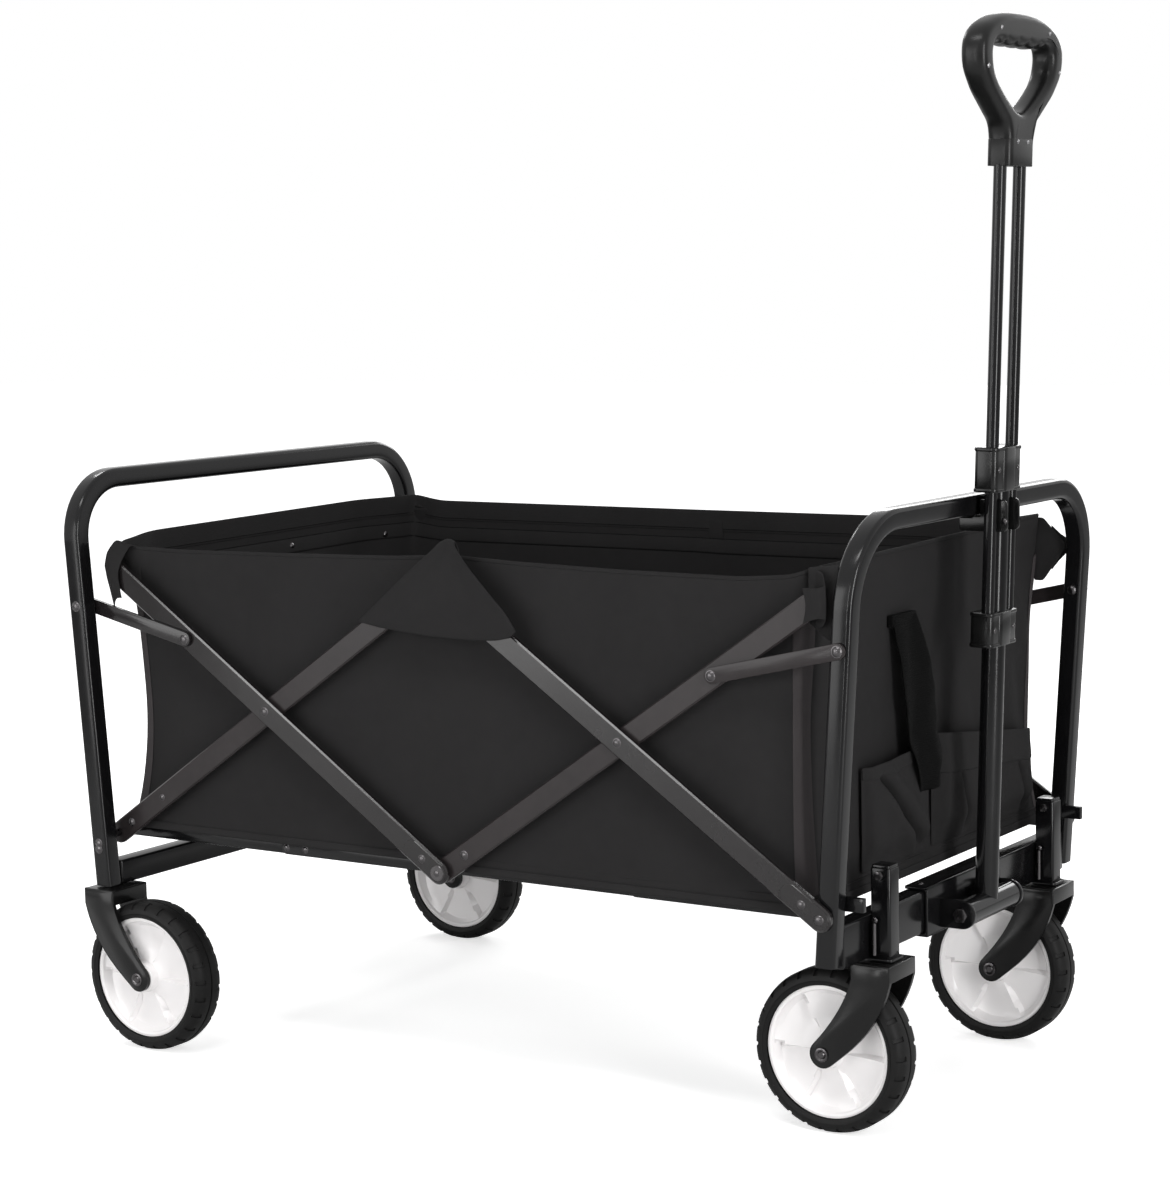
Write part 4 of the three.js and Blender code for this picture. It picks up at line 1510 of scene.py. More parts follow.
@dataclass
class Tub:
    """The form of the cloth tub: an oblong whose walls hang from the frame and sag."""

    half: float = 0.2474
    front: float = HUB.x + 0.3985
    rear: float = HUB.x - 0.4105
    floor: float = 0.2312
    corner: float = 0.010
    rim: float = 0.5280
    hem: float = 0.2245
    hem_drop: float = 0.0070
    wall: float = 0.0020
    near_rim: Rows = (
        (-0.411, 0.5205), (-0.385, 0.5160), (-0.33, 0.5148), (-0.20, 0.5162), (-0.06, 0.5188),
        (0.014, 0.5222), (0.09, 0.5190), (0.20, 0.5162), (0.33, 0.5152), (0.38, 0.5190),
        (0.399, 0.5250),
    )
    far_rim: Rows = (
        (-0.411, 0.5300), (-0.36, 0.5245), (0.0, 0.5240), (0.35, 0.5245), (0.399, 0.5330),
    )
    rear_rim: Rows = ((-0.2474, 0.5205), (-0.21, 0.5245), (0.2474, 0.5300))
    front_rim: Rows = ((-0.2474, 0.5250), (0.2474, 0.5330))
    front_sag: float = 0.0085
    rear_sag: float = 0.0125
    corner_reach: float = 0.085
    rear_lean: float = 0.018

    @property
    def wide(self) -> float:
        """The straight run across an end."""
        return 2 * (self.half - self.corner)

    @property
    def long(self) -> float:
        """The straight run along a side."""
        return self.front - self.rear - 2 * self.corner

    @property
    def arc(self) -> float:
        """The way round one corner."""
        return math.pi * self.corner / 2

    @property
    def length(self) -> float:
        """The way round the tub."""
        straight = 2 * (self.front - self.rear) + 4 * self.half - 8 * self.corner
        return straight + 2 * math.pi * self.corner

    def ring(self, share: float) -> tuple[Vector, Vector]:
        """A place on the plan and its outward direction.

        Args:
            share: The share of the way round, from the front wall's near end towards +Y.

        Returns:
            The place and the direction, both level.
        """
        r = self.corner
        way = (share % 1.0) * self.length
        centres = [
            (self.front - r, self.half - r), (self.rear + r, self.half - r),
            (self.rear + r, r - self.half), (self.front - r, r - self.half),
        ]
        for leg, run in enumerate((self.wide, self.long, self.wide, self.long)):
            angle = leg * math.pi / 2
            out = Vector((math.cos(angle), math.sin(angle), 0))
            along = Vector((-math.sin(angle), math.cos(angle), 0))
            end = Vector((*centres[leg], 0)) + out * r
            if way <= run:
                return end + along * (way - run), out
            way -= run
            if way <= self.arc:
                angle += way / r
                out = Vector((math.cos(angle), math.sin(angle), 0))
                return Vector((*centres[leg], 0)) + out * r, out
            way -= self.arc
        return self.ring(0.0)

    def corners(self) -> list[float]:
        """The way round to the start of each corner."""
        wide, long, arc = self.wide, self.long, self.arc
        return [wide, wide + arc + long, 2 * wide + 2 * arc + long, 2 * wide + 3 * arc + 2 * long]

    def rear_share(self, y: float) -> float:
        """The share of the way round at a Y on the rear wall."""
        return (self.wide + 2 * self.arc + self.long + self.half - self.corner - y) / self.length

    def rim_at(self, plan: Vector, out: Vector) -> float:
        """The rim's height at a place on the plan.

        Args:
            plan: The place on the plan.
            out: The outward direction there.

        Returns:
            The height.
        """
        if abs(out.y) > abs(out.x):
            return between(self.near_rim if plan.y < 0 else self.far_rim, plan.x - HUB.x)
        return between(self.front_rim if out.x > 0 else self.rear_rim, plan.y)

    def slack(self, plan: Vector, z: float, ends: float, belly: float) -> float:
        """How far the loose cloth lies inside its tight form.

        Args:
            plan: The place on the plan.
            z: The height.
            ends: 1 on the end walls, and 0 on the long sides.
            belly: 0 at the hem and the rim, and 1 between them.

        Returns:
            The distance, which is negative where the cloth would stand out.
        """
        pull = (1 - ends) * 0.0016 * belly
        far = min(1.0, abs(plan.x - HUB.x) / 0.4)
        folds = ripple(plan.x, plan.y, z * 0.45, 13.0)
        fine = ripple(plan.x + 3.0, plan.y, z, 38.0)
        soft = 0.35 + 0.65 * far * far
        pull += (0.0013 * (folds + 0.6) + 0.0005 * fine) * soft * (0.35 + 0.65 * belly)
        if ends > 0.5 and plan.x > HUB.x:
            tall = ripple(plan.y * 1.5 + 0.6 * z, z * 0.25, 4.2, 17.0)
            cross = ripple(plan.y, z * 2.0, 8.1, 20.0)
            pull += (0.0050 * (tall + 0.45) + 0.0014 * cross) * belly * ends
        elif ends > 0.5:
            pull += 0.0038 * (ripple(plan.y, z * 0.5, 1.7, 10.0) + 0.5) * belly * ends
        return pull

    def place(self, share: float, height: float, depth: float = 0.0) -> Vector:
        """A point of the cloth.

        Args:
            share: The share of the way round.
            height: From 0 at the bottom hem to 1 at the rim.
            depth: How far inside the outer face it lies.

        Returns:
            The point.
        """
        plan, out = self.ring(share)
        rim = self.rim_at(plan, out)
        low = self.hem - self.hem_drop * smooth_step((plan.x - HUB.x + 0.02) / 0.05)
        point = Vector((plan.x, plan.y, low + height * (rim - low)))
        high = min(1.0, max(0.0, height))
        belly = math.sin(math.pi * high ** 0.75)
        from_corner = max(
            min(self.front - plan.x, plan.x - self.rear), self.half - abs(plan.y)
        )
        near = smooth_step(1 - from_corner / self.corner_reach)
        front = plan.x > HUB.x
        sag = (self.front_sag if front else self.rear_sag) * near * belly
        point.x -= math.copysign(sag, plan.x - HUB.x)
        point.y -= math.copysign(sag, plan.y)
        ends = abs(out.x)
        if not front:
            lean = self.rear_lean * ends * (1 - near)
            point.x -= lean * smooth_step((high - 0.45) / 0.55)
            tip = smooth_step((high - 0.80) / 0.2) * smooth_step(1 - from_corner / 0.04)
            point.x += 0.0065 * near * smooth_step((high - 0.5) / 0.5) - 0.002 * tip
            point.y += math.copysign(0.009 * tip, plan.y)
            point.x += 0.010 * ends * (1 - near) * belly
        pull = self.slack(plan, point.z, ends, belly)
        return point - out * (max(0.0, pull) + depth)


@dataclass
class Pouch:
    """A patch pocket on the front wall: its outline, how far it hangs out, and its creases.

    Each crease is given as its two ends' (Y, Z) and its depth.
    """

    word: str
    start: float
    end: float
    tops: Point
    bulge: float
    hem: float
    creases: Rows
    bottom: float = 0.236
    face: float = 0.3990
    crease_width: float = 0.0024

    def place(self, u: float, v: float, lift: float = 0.0) -> Vector:
        """A point of the pocket.

        Args:
            u: The share of its width.
            v: The share of its height.
            lift: How far outside the cloth it lies.

        Returns:
            The point.
        """
        y = self.start + u * (self.end - self.start)
        top = self.tops[0] + (self.tops[1] - self.tops[0]) * u
        z = self.bottom + v * (top - self.bottom)
        edge = smooth_step(min(u, 1 - u) / 0.08)
        rise = smooth_step(v / 0.30) * (1.0 - 0.25 * smooth_step((v - 0.6) / 0.4))
        fold = 0.5 + 0.5 * ripple(y * 1.8 + self.start * 9, z * 0.6, self.end * 7, 22.0)
        out = self.bulge * edge * rise * (0.55 + 0.45 * fold)
        here = Vector((y, z))
        for *line, depth in self.creases:
            a, b = Vector(line[:2]), Vector(line[2:])
            along = (here - a).dot(b - a) / (b - a).length_squared
            gap = (here - a.lerp(b, min(1.0, max(0.0, along)))).length
            fade = smooth_step(min(along + 0.08, 1.08 - along) / 0.2)
            out -= depth * fade * math.exp(-((gap / self.crease_width) ** 2)) * edge
            out += depth * 0.35 * fade * math.exp(-(((gap - 0.012) / 0.008) ** 2)) * edge
        return Vector((HUB.x + self.face + max(0.0002, out) + lift, y, z))


@dataclass
class Basket:
    """The cloth basket with its binding, caps, pockets, strap and mat.

    The caps and hoods are given as rows of (X and Z of the left edge, X and Z of the right edge,
    outwards), and the sleeves as rows of (X, outwards, low, high).
    """

    tub: Tub
    body: str = "basket"
    rim_fold: Rows = (
        (0.0002, -0.0030), (0.0003, -0.0010), (0.0, 0.0005), (-0.0010, 0.0009),
        (-0.0020, 0.0005), (-0.0025, -0.0010), (-0.0026, -0.0100), (-0.0026, -0.0214),
        (-0.0023, -0.0220),
    )
    low_fold: Rows = (
        (0.0004, 0.0068), (0.0009, 0.0062), (0.0009, 0.0006), (0.0003, -0.0006),
        (-0.0012, -0.0010), (-0.0024, -0.0004), (-0.0026, 0.0060),
    )
    seam_fold: Rows = (
        (-0.0022, 0.0), (-0.0026, -0.002), (-0.0026, -0.014), (-0.0022, -0.016),
    )
    floor_gap: float = 0.0006
    floor_room: Point = (0.2300, 0.2320)
    seam_height: float = 0.90
    tape_lap: float = 0.006
    cap_rows: Rows = (
        (0.004, 0.492, 0.022, 0.492, 0.2446), (0.005, 0.528, 0.021, 0.530, 0.2450),
        (0.0065, 0.5375, 0.0195, 0.5385, 0.2520), (0.002, 0.5290, 0.031, 0.5290, 0.2615),
        (-0.018, 0.5118, 0.051, 0.5120, 0.2680), (-0.045, 0.4890, 0.0755, 0.4890, 0.2700),
        (-0.066, 0.4715, 0.092, 0.4740, 0.2704), (-0.083, 0.4580, 0.102, 0.4580, 0.2702),
    )
    cap_hem: Rows = (
        (-0.083, 0.4573), (-0.060, 0.453), (-0.038, 0.4505), (0.002, 0.447), (0.049, 0.446),
        (0.078, 0.447), (0.095, 0.451), (0.102, 0.4573),
    )
    far_cap_drop: float = 0.0175
    sleeve_rows: Rows = (
        (0.4065, 0.2500, 0.474, 0.526), (0.4105, 0.2515, 0.475, 0.525),
        (0.4150, 0.2535, 0.476, 0.524), (0.4210, 0.2580, 0.483, 0.513),
        (0.4185, 0.2622, 0.484, 0.511), (0.4110, 0.2634, 0.482, 0.511),
        (0.4035, 0.2628, 0.479, 0.511),
    )
    hood_rows: Rows = (
        (-0.3990, 0.5170, -0.3800, 0.5140, 0.2470), (-0.4050, 0.5235, -0.3850, 0.5190, 0.2560),
        (-0.4105, 0.5110, -0.3880, 0.5060, 0.2655), (-0.4165, 0.4970, -0.3915, 0.4940, 0.2688),
        (-0.4140, 0.4860, -0.3920, 0.4860, 0.2694), (-0.4110, 0.4750, -0.3905, 0.4780, 0.2690),
        (-0.4085, 0.4640, -0.3895, 0.4700, 0.2686), (-0.4060, 0.4530, -0.3885, 0.4650, 0.2682),
    )
    gusset_edge: Rows = ((0.0, -0.4010), (0.3, -0.4080), (0.65, -0.4090), (1.0, -0.4010))
    gusset_back: float = -0.3800
    strap_left: Rows = ((0, -0.0970), (0.45, -0.0900), (0.8, -0.0760), (1, -0.0560))
    strap_right: Rows = ((0, -0.0500), (0.3, -0.0330), (0.6, -0.0230), (1, -0.0150))
    strap_top: float = 0.4635
    strap_drop: float = 0.168
    studs: Rows = ((0.044, 0.870), (0.205, 0.862))
    mat_panels: int = 4
    mat_channel: float = 0.010
    mat_gaps: Point = (0.016, 0.008)
    mat_level: float = 0.2353
    mat_pad: float = 0.0038
    mat_wall: float = 0.0030

    def build(self) -> None:
        """Makes every cloth piece."""
        walls = self.shell()
        self.tapes()
        for side in Side:
            self.middle_cap(side)
            self.front_ear(side)
            self.rear_ear(side)
        self.pockets()
        self.strap()
        self.rear_studs()
        self.mat()

    def cloth_piece(
        self, name: str, finish: Finish, shapes: list[Shape], stands_for: Sequence[str] = (),
        wall: Wall | None = None,
    ) -> bpy.types.Object:
        """Makes a piece on the basket, with its own copy of its mesh.

        Args:
            name: The piece's name.
            finish: Its surface.
            shapes: What it is made of.
            stands_for: The frame's nodes that it replaces.
            wall: The thickness that a sheet gets.

        Returns:
            The piece.
        """
        piece = make(name, self.body, finish, shapes, stands_for, CLOTH_SMOOTH, wall)
        soften(piece)
        return piece

    def shell(self) -> bpy.types.Object:
        """The four walls and the floor panel.

        Returns:
            The walls.
        """
        tub = self.tub
        walls = patch(300, 34, tub.place, (tub.length, tub.rim - tub.floor))
        bmesh.ops.remove_doubles(walls, verts=walls.verts, dist=1e-6)
        piece = self.cloth_piece("basket_walls", CLOTH, [walls], ["basket"], Wall(tub.wall))
        gap = self.floor_gap
        low, high = (tub.rear + gap, gap - tub.half), (tub.front - gap, tub.half - gap)
        floor = upright_block(low, high, *self.floor_room, tub.corner, 0.0006)
        self.cloth_piece("basket_floor", CLOTH, [floor])
        return piece

    def band(
        self, height: float, profile: Rows, start: float = 0.0, end: float = 1.0,
        steps: int = 300,
    ) -> Shape:
        """A strip that follows the walls.

        Args:
            height: The strip's height on the wall, from 0 to 1.
            profile: Its section as (outwards from the wall's outer face, upwards).
            start: The share of the way round where it starts.
            end: The share where it ends.
            steps: Its cells.

        Returns:
            The shape.
        """
        tub = self.tub
        cells = len(profile) - 1
        reach = tub.rim - tub.floor

        def where(u: float, v: float) -> Vector:
            """Follows the walls at the section's distance."""
            share = start + u * (end - start)
            out, up = profile[round(v * cells)]
            level = height + up / reach
            point = tub.place(share, min(1.0, level), -out)
            point.z += max(0.0, level - 1.0) * reach
            return point

        width = sum(math.dist(a, b) for a, b in zip(profile, profile[1:]))
        shape = patch(steps, cells, where, ((end - start) * tub.length, width))
        bmesh.ops.remove_doubles(shape, verts=shape.verts, dist=1e-6)
        return shape

    def tapes(self) -> None:
        """The folded rim, the bottom hem, their stitches, the corner tapes and the seam inside.
        The corner tapes are a lighter grey than the cloth, which paints the highlight that the
        corners catch.
        """
        tub, seam = self.tub, self.seam_height
        rim, low = self.band(1.0, self.rim_fold), self.band(0.0, self.low_fold)
        stitches = [
            self.band(1.0, ((-0.0026, -0.0196), (-0.0030, -0.0192), (-0.0026, -0.0188))),
            self.band(0.0, ((0.0010, 0.0050), (0.0013, 0.0054), (0.0010, 0.0058))),
            self.band(seam, ((-0.0026, -0.0004), (-0.0031, 0.0), (-0.0026, 0.0004))),
        ]
        inside = self.band(seam, self.seam_fold)
        rise = tuple((0.0007, 0.008 + 0.028 * step) for step in range(10))
        strips = []
        # Corner tapes in the lighter grey that paints the corners' highlight.
        for start in tub.corners():
            ends = (start - self.tape_lap, start + tub.arc + self.tape_lap)
            strips.append(self.band(0.0, rise, *(end / tub.length for end in ends), 10))
        folds = [
            self.cloth_piece("rim_hem", BINDING, [rim], (), Wall(0.0005)),
            self.cloth_piece("bottom_hem", BINDING, [low], (), Wall(0.0005)),
            self.cloth_piece("seam_stitches", THREAD, stitches),
            self.cloth_piece("inner_seam", BINDING, [inside], (), Wall(0.0006, 0.0, 0)),
            self.cloth_piece("corner_tapes", CORNER_HIGHLIGHT_CLOTH, strips, (), Wall(0.0007)),
        ]
        bars = [f"scissor_{way}_{side.word}" for side in Side
                for way in ("front_lower", "front_upper", "rear_upper", "rear_lower")]

    def middle_cap(self, side: Side) -> None:
        """The cap that folds over the bars' top ends in the middle of a long side.

        Args:
            side: The side.
        """
        last = len(self.cap_rows)

        def where(u: float, v: float) -> Vector:
            """Follows the cap's rows, and then its hem."""
            row = v * last
            left_x, left_z, right_x, right_z, y = row_at(self.cap_rows, row)
            x, z = left_x + (right_x - left_x) * u, left_z + (right_z - left_z) * u
            over = row - (last - 1)
            if over > 0:
                z = min(z, z + (between(self.cap_hem, x) - z) * over)
                y -= 0.0006 * over
            crown = math.sin(math.pi * u)
            z += 0.0030 * crown * max(0.0, 1 - abs(row - 2) / 1.4)
            if row > 2.6:
                crease = math.exp(-((u - 0.50 - 0.04 * row) * 9) ** 2)
                y += 0.0010 * crown + 0.0011 * ripple(x, z, side.value, 24.0) - 0.0012 * crease
                y += 0.0012 * smooth_step((u - 0.86) / 0.14)
            if side is Side.LEFT:
                z -= self.far_cap_drop * smooth_step((z - 0.500) / 0.042)
            return Vector((HUB.x + x, side.value * y, z))

        shape = facing_out(patch(26, 18, where, (0.15, 0.15)), side is Side.RIGHT)
        self.cloth_piece(f"middle_cap_{side.word}", CLOTH, [shape], (), Wall(0.0016, 0.0))

    def front_ear(self, side: Side) -> None:
        """The sleeve at a front corner round the upper bar's end, and the tab to the upright.

        Args:
            side: The side.
        """
        cells = len(self.sleeve_rows) - 1
        far = side is Side.LEFT

        def limits(x: float) -> Point:
            """The lowest and highest Z of the far side's pointed end."""
            along = min(1.0, max(0.0, (x - 0.3995) / 0.0240))
            return (0.4640 + 0.0355 * along, 0.5290 - 0.0275 * along) if far else (0.0, 1.0)

        def sleeve(u: float, v: float) -> Vector:
            """Follows the sleeve's rows round the bar's end."""
            x, y, low, high = row_at(self.sleeve_rows, u * cells)
            z = low + v * (high - low)
            floor, roof = limits(x)
            z = min(roof, max(floor, z))
            sag = 0.0010 * ripple(x, z, side.value * 2.0, 40.0)
            round_end = 0.0035 * (2 * v - 1) ** 2 * smooth_step((u - 0.4) / 0.35)
            return Vector((HUB.x + x + sag - round_end, side.value * (y + 0.3 * sag), z))

        def tab(u: float, v: float) -> Vector:
            """Lies flat beside the wall's corner."""
            x = 0.3890 + 0.0342 * u if far else 0.3970 + 0.0315 * u
            low, high = 0.478 - 0.015 * min(1.0, u / 0.65), 0.527 + 0.004 * u
            if far:
                low, high = limits(x)
            z = low + v * (high - low)
            y = 0.2455 + 0.0018 * u + 0.0010 * math.sin(math.pi * v) * math.sin(math.pi * u)
            return Vector((HUB.x + x, side.value * y, z))

        ear = patch(28, 10, sleeve, (0.09, 0.05))
        make(f"front_ear_{side.word}", f"bar_front_upper_{side.word}", CLOTH, [ear], (),
             CLOTH_SMOOTH, Wall(0.0015, 0.0))
        flap = patch(10, 14, tab, (0.03, 0.06))
        self.cloth_piece(f"front_tab_{side.word}", BINDING, [flap], (), Wall(0.0016, 0.0))

    def rear_ear(self, side: Side) -> None:
        """The hood at a rear corner, with a point that hangs from it, and its gusset.

        Args:
            side: The side.
        """
        cells = len(self.hood_rows) - 1

        def hood(u: float, v: float) -> Vector:
            """Follows the hood's rows over the bar's end."""
            left_x, left_z, right_x, right_z, y = row_at(self.hood_rows, v * cells)
            x, z = left_x + (right_x - left_x) * u, left_z + (right_z - left_z) * u
            z += 0.0045 * math.sin(math.pi * u) * smooth_step((v - 0.75) / 0.25)
            y -= 0.008 * (1 - u) ** 3 * smooth_step((v - 0.2) / 0.3)
            sag = 0.0010 * ripple(x, z, side.value * 5.0, 36.0)
            return Vector((HUB.x + x, side.value * (y + sag), z + sag))

        def gusset(u: float, v: float) -> Vector:
            """Closes the gap between the hood and the wall's corner."""
            left_x = between(self.gusset_edge, v)
            x = left_x + (self.gusset_back - left_x) * u
            sag = 0.0008 * ripple(x, v * 0.05, side.value * 7.0, 40.0)
            y = side.value * (0.2462 + 0.0020 * v + sag)
            return Vector((HUB.x + x, y, 0.5150 - 0.0470 * v))

        flip = side is Side.LEFT
        shape = facing_out(patch(10, 21, hood, (0.03, 0.08)), flip)
        self.cloth_piece(f"rear_ear_{side.word}", CLOTH, [shape], (), Wall(0.0015, 0.0))
        leaf = facing_out(patch(8, 14, gusset, (0.03, 0.05)), flip)
        self.cloth_piece(f"rear_gusset_{side.word}", CLOTH, [leaf], (), Wall(0.0015, 0.0))

    def pockets(self) -> None:
        """The two patch pockets on the front wall, slack and creased."""
        near = Pouch("right", -0.154, -0.030, (0.333, 0.340), 0.0150, 0.012,
                     ((-0.130, 0.322, -0.040, 0.240, 0.0130),))
        far = Pouch("left", -0.012, 0.211, (0.345, 0.317), 0.0135, 0.040,
                    ((0.035, 0.300, 0.060, 0.236, 0.0090), (0.120, 0.296, 0.096, 0.236, 0.0090),
                     (0.165, 0.290, 0.190, 0.236, 0.0070)))
        for pouch in (near, far):
            width, high = pouch.end - pouch.start, pouch.tops[0] - pouch.bottom
            cover = patch(round(width / 0.0020), 44, pouch.place, (width, high))
            name, node = f"pocket_cloth_{pouch.word}", f"pocket_{pouch.word}"
            self.cloth_piece(name, CLOTH, [cover], [node], Wall(0.0014))
            share = pouch.hem / high

            def hem(u: float, v: float) -> Vector:
                """Lies on the top of the pocket."""
                return pouch.place(u, 1.012 - share * (1 - v), 0.0009)

            band = patch(56, 6, hem, (width, pouch.hem))
            self.cloth_piece(f"pocket_hem_{pouch.word}", BINDING, [band], (), Wall(0.0016, -0.6))

    def strap(self) -> None:
        """The webbing strap on the front wall, which hangs down and is gathered at the pockets."""

        def where(u: float, v: float) -> Vector:
            """Hangs from the tack, bowed and waved."""
            left, right = between(self.strap_left, v), between(self.strap_right, v)
            y = left + u * (right - left)
            z = (self.strap_top + 0.0030 * u) - v * self.strap_drop
            bow = math.sin(v * math.pi) ** 0.8
            wave = math.sin(u * math.pi * 2.3 + v * 4.0) + 0.6 * ripple(y, z, 2.0, 60.0)
            x = 0.4020 + 0.0080 * bow + 0.0030 * (0.3 + v) * wave
            x += 0.0105 * smooth_step((v - 0.62) / 0.25)
            return Vector((HUB.x + x, y, z))

        shape = facing_out(patch(14, 34, where, (0.040, 0.16)), True)
        tack = block((HUB.x + 0.3970, -0.0975, 0.4560), (HUB.x + 0.4035, -0.0495, 0.4672))
        flat_map(tack)
        self.cloth_piece("front_strap", WEBBING, [shape], ["pull_strap"], Wall(0.0020, 0.0))
        self.cloth_piece("front_strap_tack", WEBBING, [tack])

    def rear_studs(self) -> None:
        """The two studs on the inner side of the rear wall."""
        tub = self.tub
        face = Matrix.Rotation(math.radians(-90), 4, "Z")
        studs = []
        for y, height in self.studs:
            spot = Matrix.Translation(tub.place(tub.rear_share(y), height, tub.wall - 0.0002))
            studs.append(placed(dome(0, 0, 0, Side.LEFT, 0.0048), spot @ face))
        soften(make("rear_wall_studs", self.body, RIVET, studs))

    def mat(self) -> None:
        """The padded mat on the floor, with channels where it folds."""
        tub = self.tub
        rear_gap, gap = self.mat_gaps
        low_x, high_x = tub.rear + rear_gap, tub.front - gap
        low_y, high_y = gap - tub.half, tub.half - gap
        long, wide = high_x - low_x, high_y - low_y

        def where(u: float, v: float) -> Vector:
            """Sinks at the channels and the edges."""
            x, y = low_x + u * long, low_y + v * wide
            panel = (u * self.mat_panels) % 1.0
            seam = min(panel, 1 - panel) * long / self.mat_panels
            side = min(v, 1 - v) * wide
            pad = min(1.0, seam / self.mat_channel) ** 0.5
            pad *= min(1.0, side / self.mat_channel) ** 0.5
            z = self.mat_level + self.mat_pad * pad + 0.0004 * ripple(x, y, 0, 12.0)
            return Vector((x, y, z))

        shape = patch(120, 60, where, (long, wide))
        wall = Wall(self.mat_wall, -1.0, 0)
        mat = self.cloth_piece("floor_pad", MAT_CLOTH, [shape], ["floor_mat"], wall)


# ---- handle
@dataclass
class Handle:
    """The pull handle: a tube on a cross sleeve, and the rods and grip that slide along it.

    Its own frame starts at the pivot, with Z along the tube and X forwards.
    """

    lower: str = "handle_lower"
    upper: str = "handle_upper"
    lean: float = 0.0335
    tube_radius: float = 0.011
    tube_top: float = 0.430
    sleeve_radius: float = 0.0125
    sleeve_reach: float = 0.050
    rod_x: float = 0.003
    rod_y: float = 0.021
    rod_radius: float = 0.006
    rod_bottom: float = 0.252
    rod_top: float = 0.694
    top_collar: Point = (0.394, 0.436)
    slide_collar: Point = (0.249, 0.282)
    collar_near: Point = (-0.0135, -0.029)
    collar_far: Point = (0.0115, 0.029)
    collar_lip: float = 0.004
    half_depth: float = 0.0125
    rounding: float = 0.0078
    groove: float = 0.0034
    groove_pitch: float = 0.0235
    groove_reach: float = 0.048
    around: int = 176
    section: int = 16
    outer_half: Rows = (
        (0.0080, 0.6990), (0.0190, 0.6990), (0.0250, 0.7010), (0.0262, 0.7070),
        (0.0266, 0.7180), (0.0305, 0.7285), (0.0420, 0.7375), (0.0545, 0.7465),
        (0.0655, 0.7548), (0.0745, 0.7640), (0.0815, 0.7725), (0.0856, 0.7815),
        (0.0870, 0.7915), (0.0857, 0.8010), (0.0810, 0.8090), (0.0725, 0.8160),
        (0.0610, 0.8213), (0.0470, 0.8255), (0.0300, 0.8280), (0.0120, 0.8290),
    )
    inner_half: Rows = (
        (0.0020, 0.7412), (0.0060, 0.7418), (0.0120, 0.7435), (0.0200, 0.7470),
        (0.0290, 0.7520), (0.0380, 0.7577), (0.0470, 0.7640), (0.0545, 0.7702),
        (0.0600, 0.7770), (0.0630, 0.7850), (0.0637, 0.7925), (0.0610, 0.7982),
        (0.0545, 0.8010), (0.0450, 0.8015), (0.0350, 0.8015), (0.0250, 0.8015),
        (0.0150, 0.8015), (0.0050, 0.8015),
    )
    grip_screws: Rows = (
        (0.052, 0.8135), (-0.052, 0.8135), (0.0765, 0.7790), (-0.0765, 0.7790),
        (0.0105, 0.7140), (-0.0105, 0.7140),
    )

    def stand(self, shapes: list[Shape]) -> list[Shape]:
        """Moves shapes from the handle's own frame into the wagon's.

        Args:
            shapes: The shapes.

        Returns:
            The same shapes.
        """
        pivot = joint_place("handle_tilt")
        stance = at(pivot.x, 0, pivot.z) @ Matrix.Rotation(self.lean, 4, "Y")
        return [placed(shape, stance) for shape in shapes]

    def build(self) -> None:
        """Makes every piece of the handle."""
        reach = self.sleeve_reach
        tube = [
            rod(self.tube_radius, Vector((0, 0, 0)), Vector((0, 0, self.tube_top))),
            pin(self.sleeve_radius, 0, 0, -reach, reach, 0.0012),
        ]
        make("pull_tube", self.lower, BLACK_COAT, self.stand(tube), ["handle_tube"], CRISP)
        self.collar("top_collar", self.lower, self.top_collar)
        self.collar("slide_collar", self.upper, self.slide_collar)
        for side in Side:
            low, high = (
                Vector((self.rod_x, side.value * self.rod_y, z))
                for z in (self.rod_bottom, self.rod_top)
            )
            bar = self.stand([rod(self.rod_radius, low, high)])
            node = f"handle_rod_{side.word}"
            make(f"pull_rod_{side.word}", self.upper, BLACK_COAT, bar, [node], CRISP)
        self.grip()

    def collar(self, name: str, body: str, room: Point) -> None:
        """Makes a plastic collar round the tube and both rods, between two heights.

        Args:
            name: The piece's name.
            body: The body that it rides on.
            room: The heights.
        """
        low, high = room
        near, far = self.collar_near, self.collar_far
        lip = self.collar_lip
        shapes = [
            upright_block((near[0] + 0.0008, near[1] + 0.0008), (far[0] - 0.0008, far[1] - 0.0008),
                          low, high, 0.0056, 0.0012),
            upright_block(near, far, high - lip, high - 0.0002, 0.006, 0.0010),
            upright_block(near, far, low + 0.0002, low + lip, 0.006, 0.0010),
            upright_block((near[0], -0.0135), (far[0] + 0.0012, 0.0135), low + 0.001, high - 0.001,
                          0.006, 0.0012),
        ]
        make(name, body, COLLAR_PLASTIC, self.stand(shapes), [f"handle_{name}"], CRISP)
        spots = [(y, (low + high) / 2) for y in (-0.0205, 0.0205)]
        screws = self.screws(spots, far[0] - 0.0008, 1, 0.0028)
        make(f"{name}_screws", body, RIVET, self.stand(screws))

    @staticmethod
    def screws(spots: Sequence[Point], x: float, way: int, radius: float) -> list[Shape]:
        """Round screw heads that face forwards, or backwards where the way is -1."""
        turn = Matrix.Rotation(math.radians(-90 * way), 4, "Z")
        return [placed(dome(0, 0, 0, Side.LEFT, radius), at(x, y, z) @ turn) for y, z in spots]

    def grip(self) -> None:
        """Makes the closed grip: a rounded limb round a hole, on a neck."""
        deep = self.half_depth + 0.0001
        foot = upright_block((self.rod_x - deep, -0.0264), (self.rod_x + deep, 0.0264),
                             0.692, 0.7165, 0.0068, 0.0005)
        shapes = self.stand([self.limb(), foot])
        make("pull_grip", self.upper, GRIP_PLASTIC, shapes, ["handle_grip"], 50)
        screws = []
        for way in (1, -1):
            x = self.rod_x + way * (self.half_depth - 0.0003)
            screws += self.screws(self.grip_screws, x, way, 0.0025)
        make("pull_grip_screws", self.upper, ZINC, self.stand(screws))

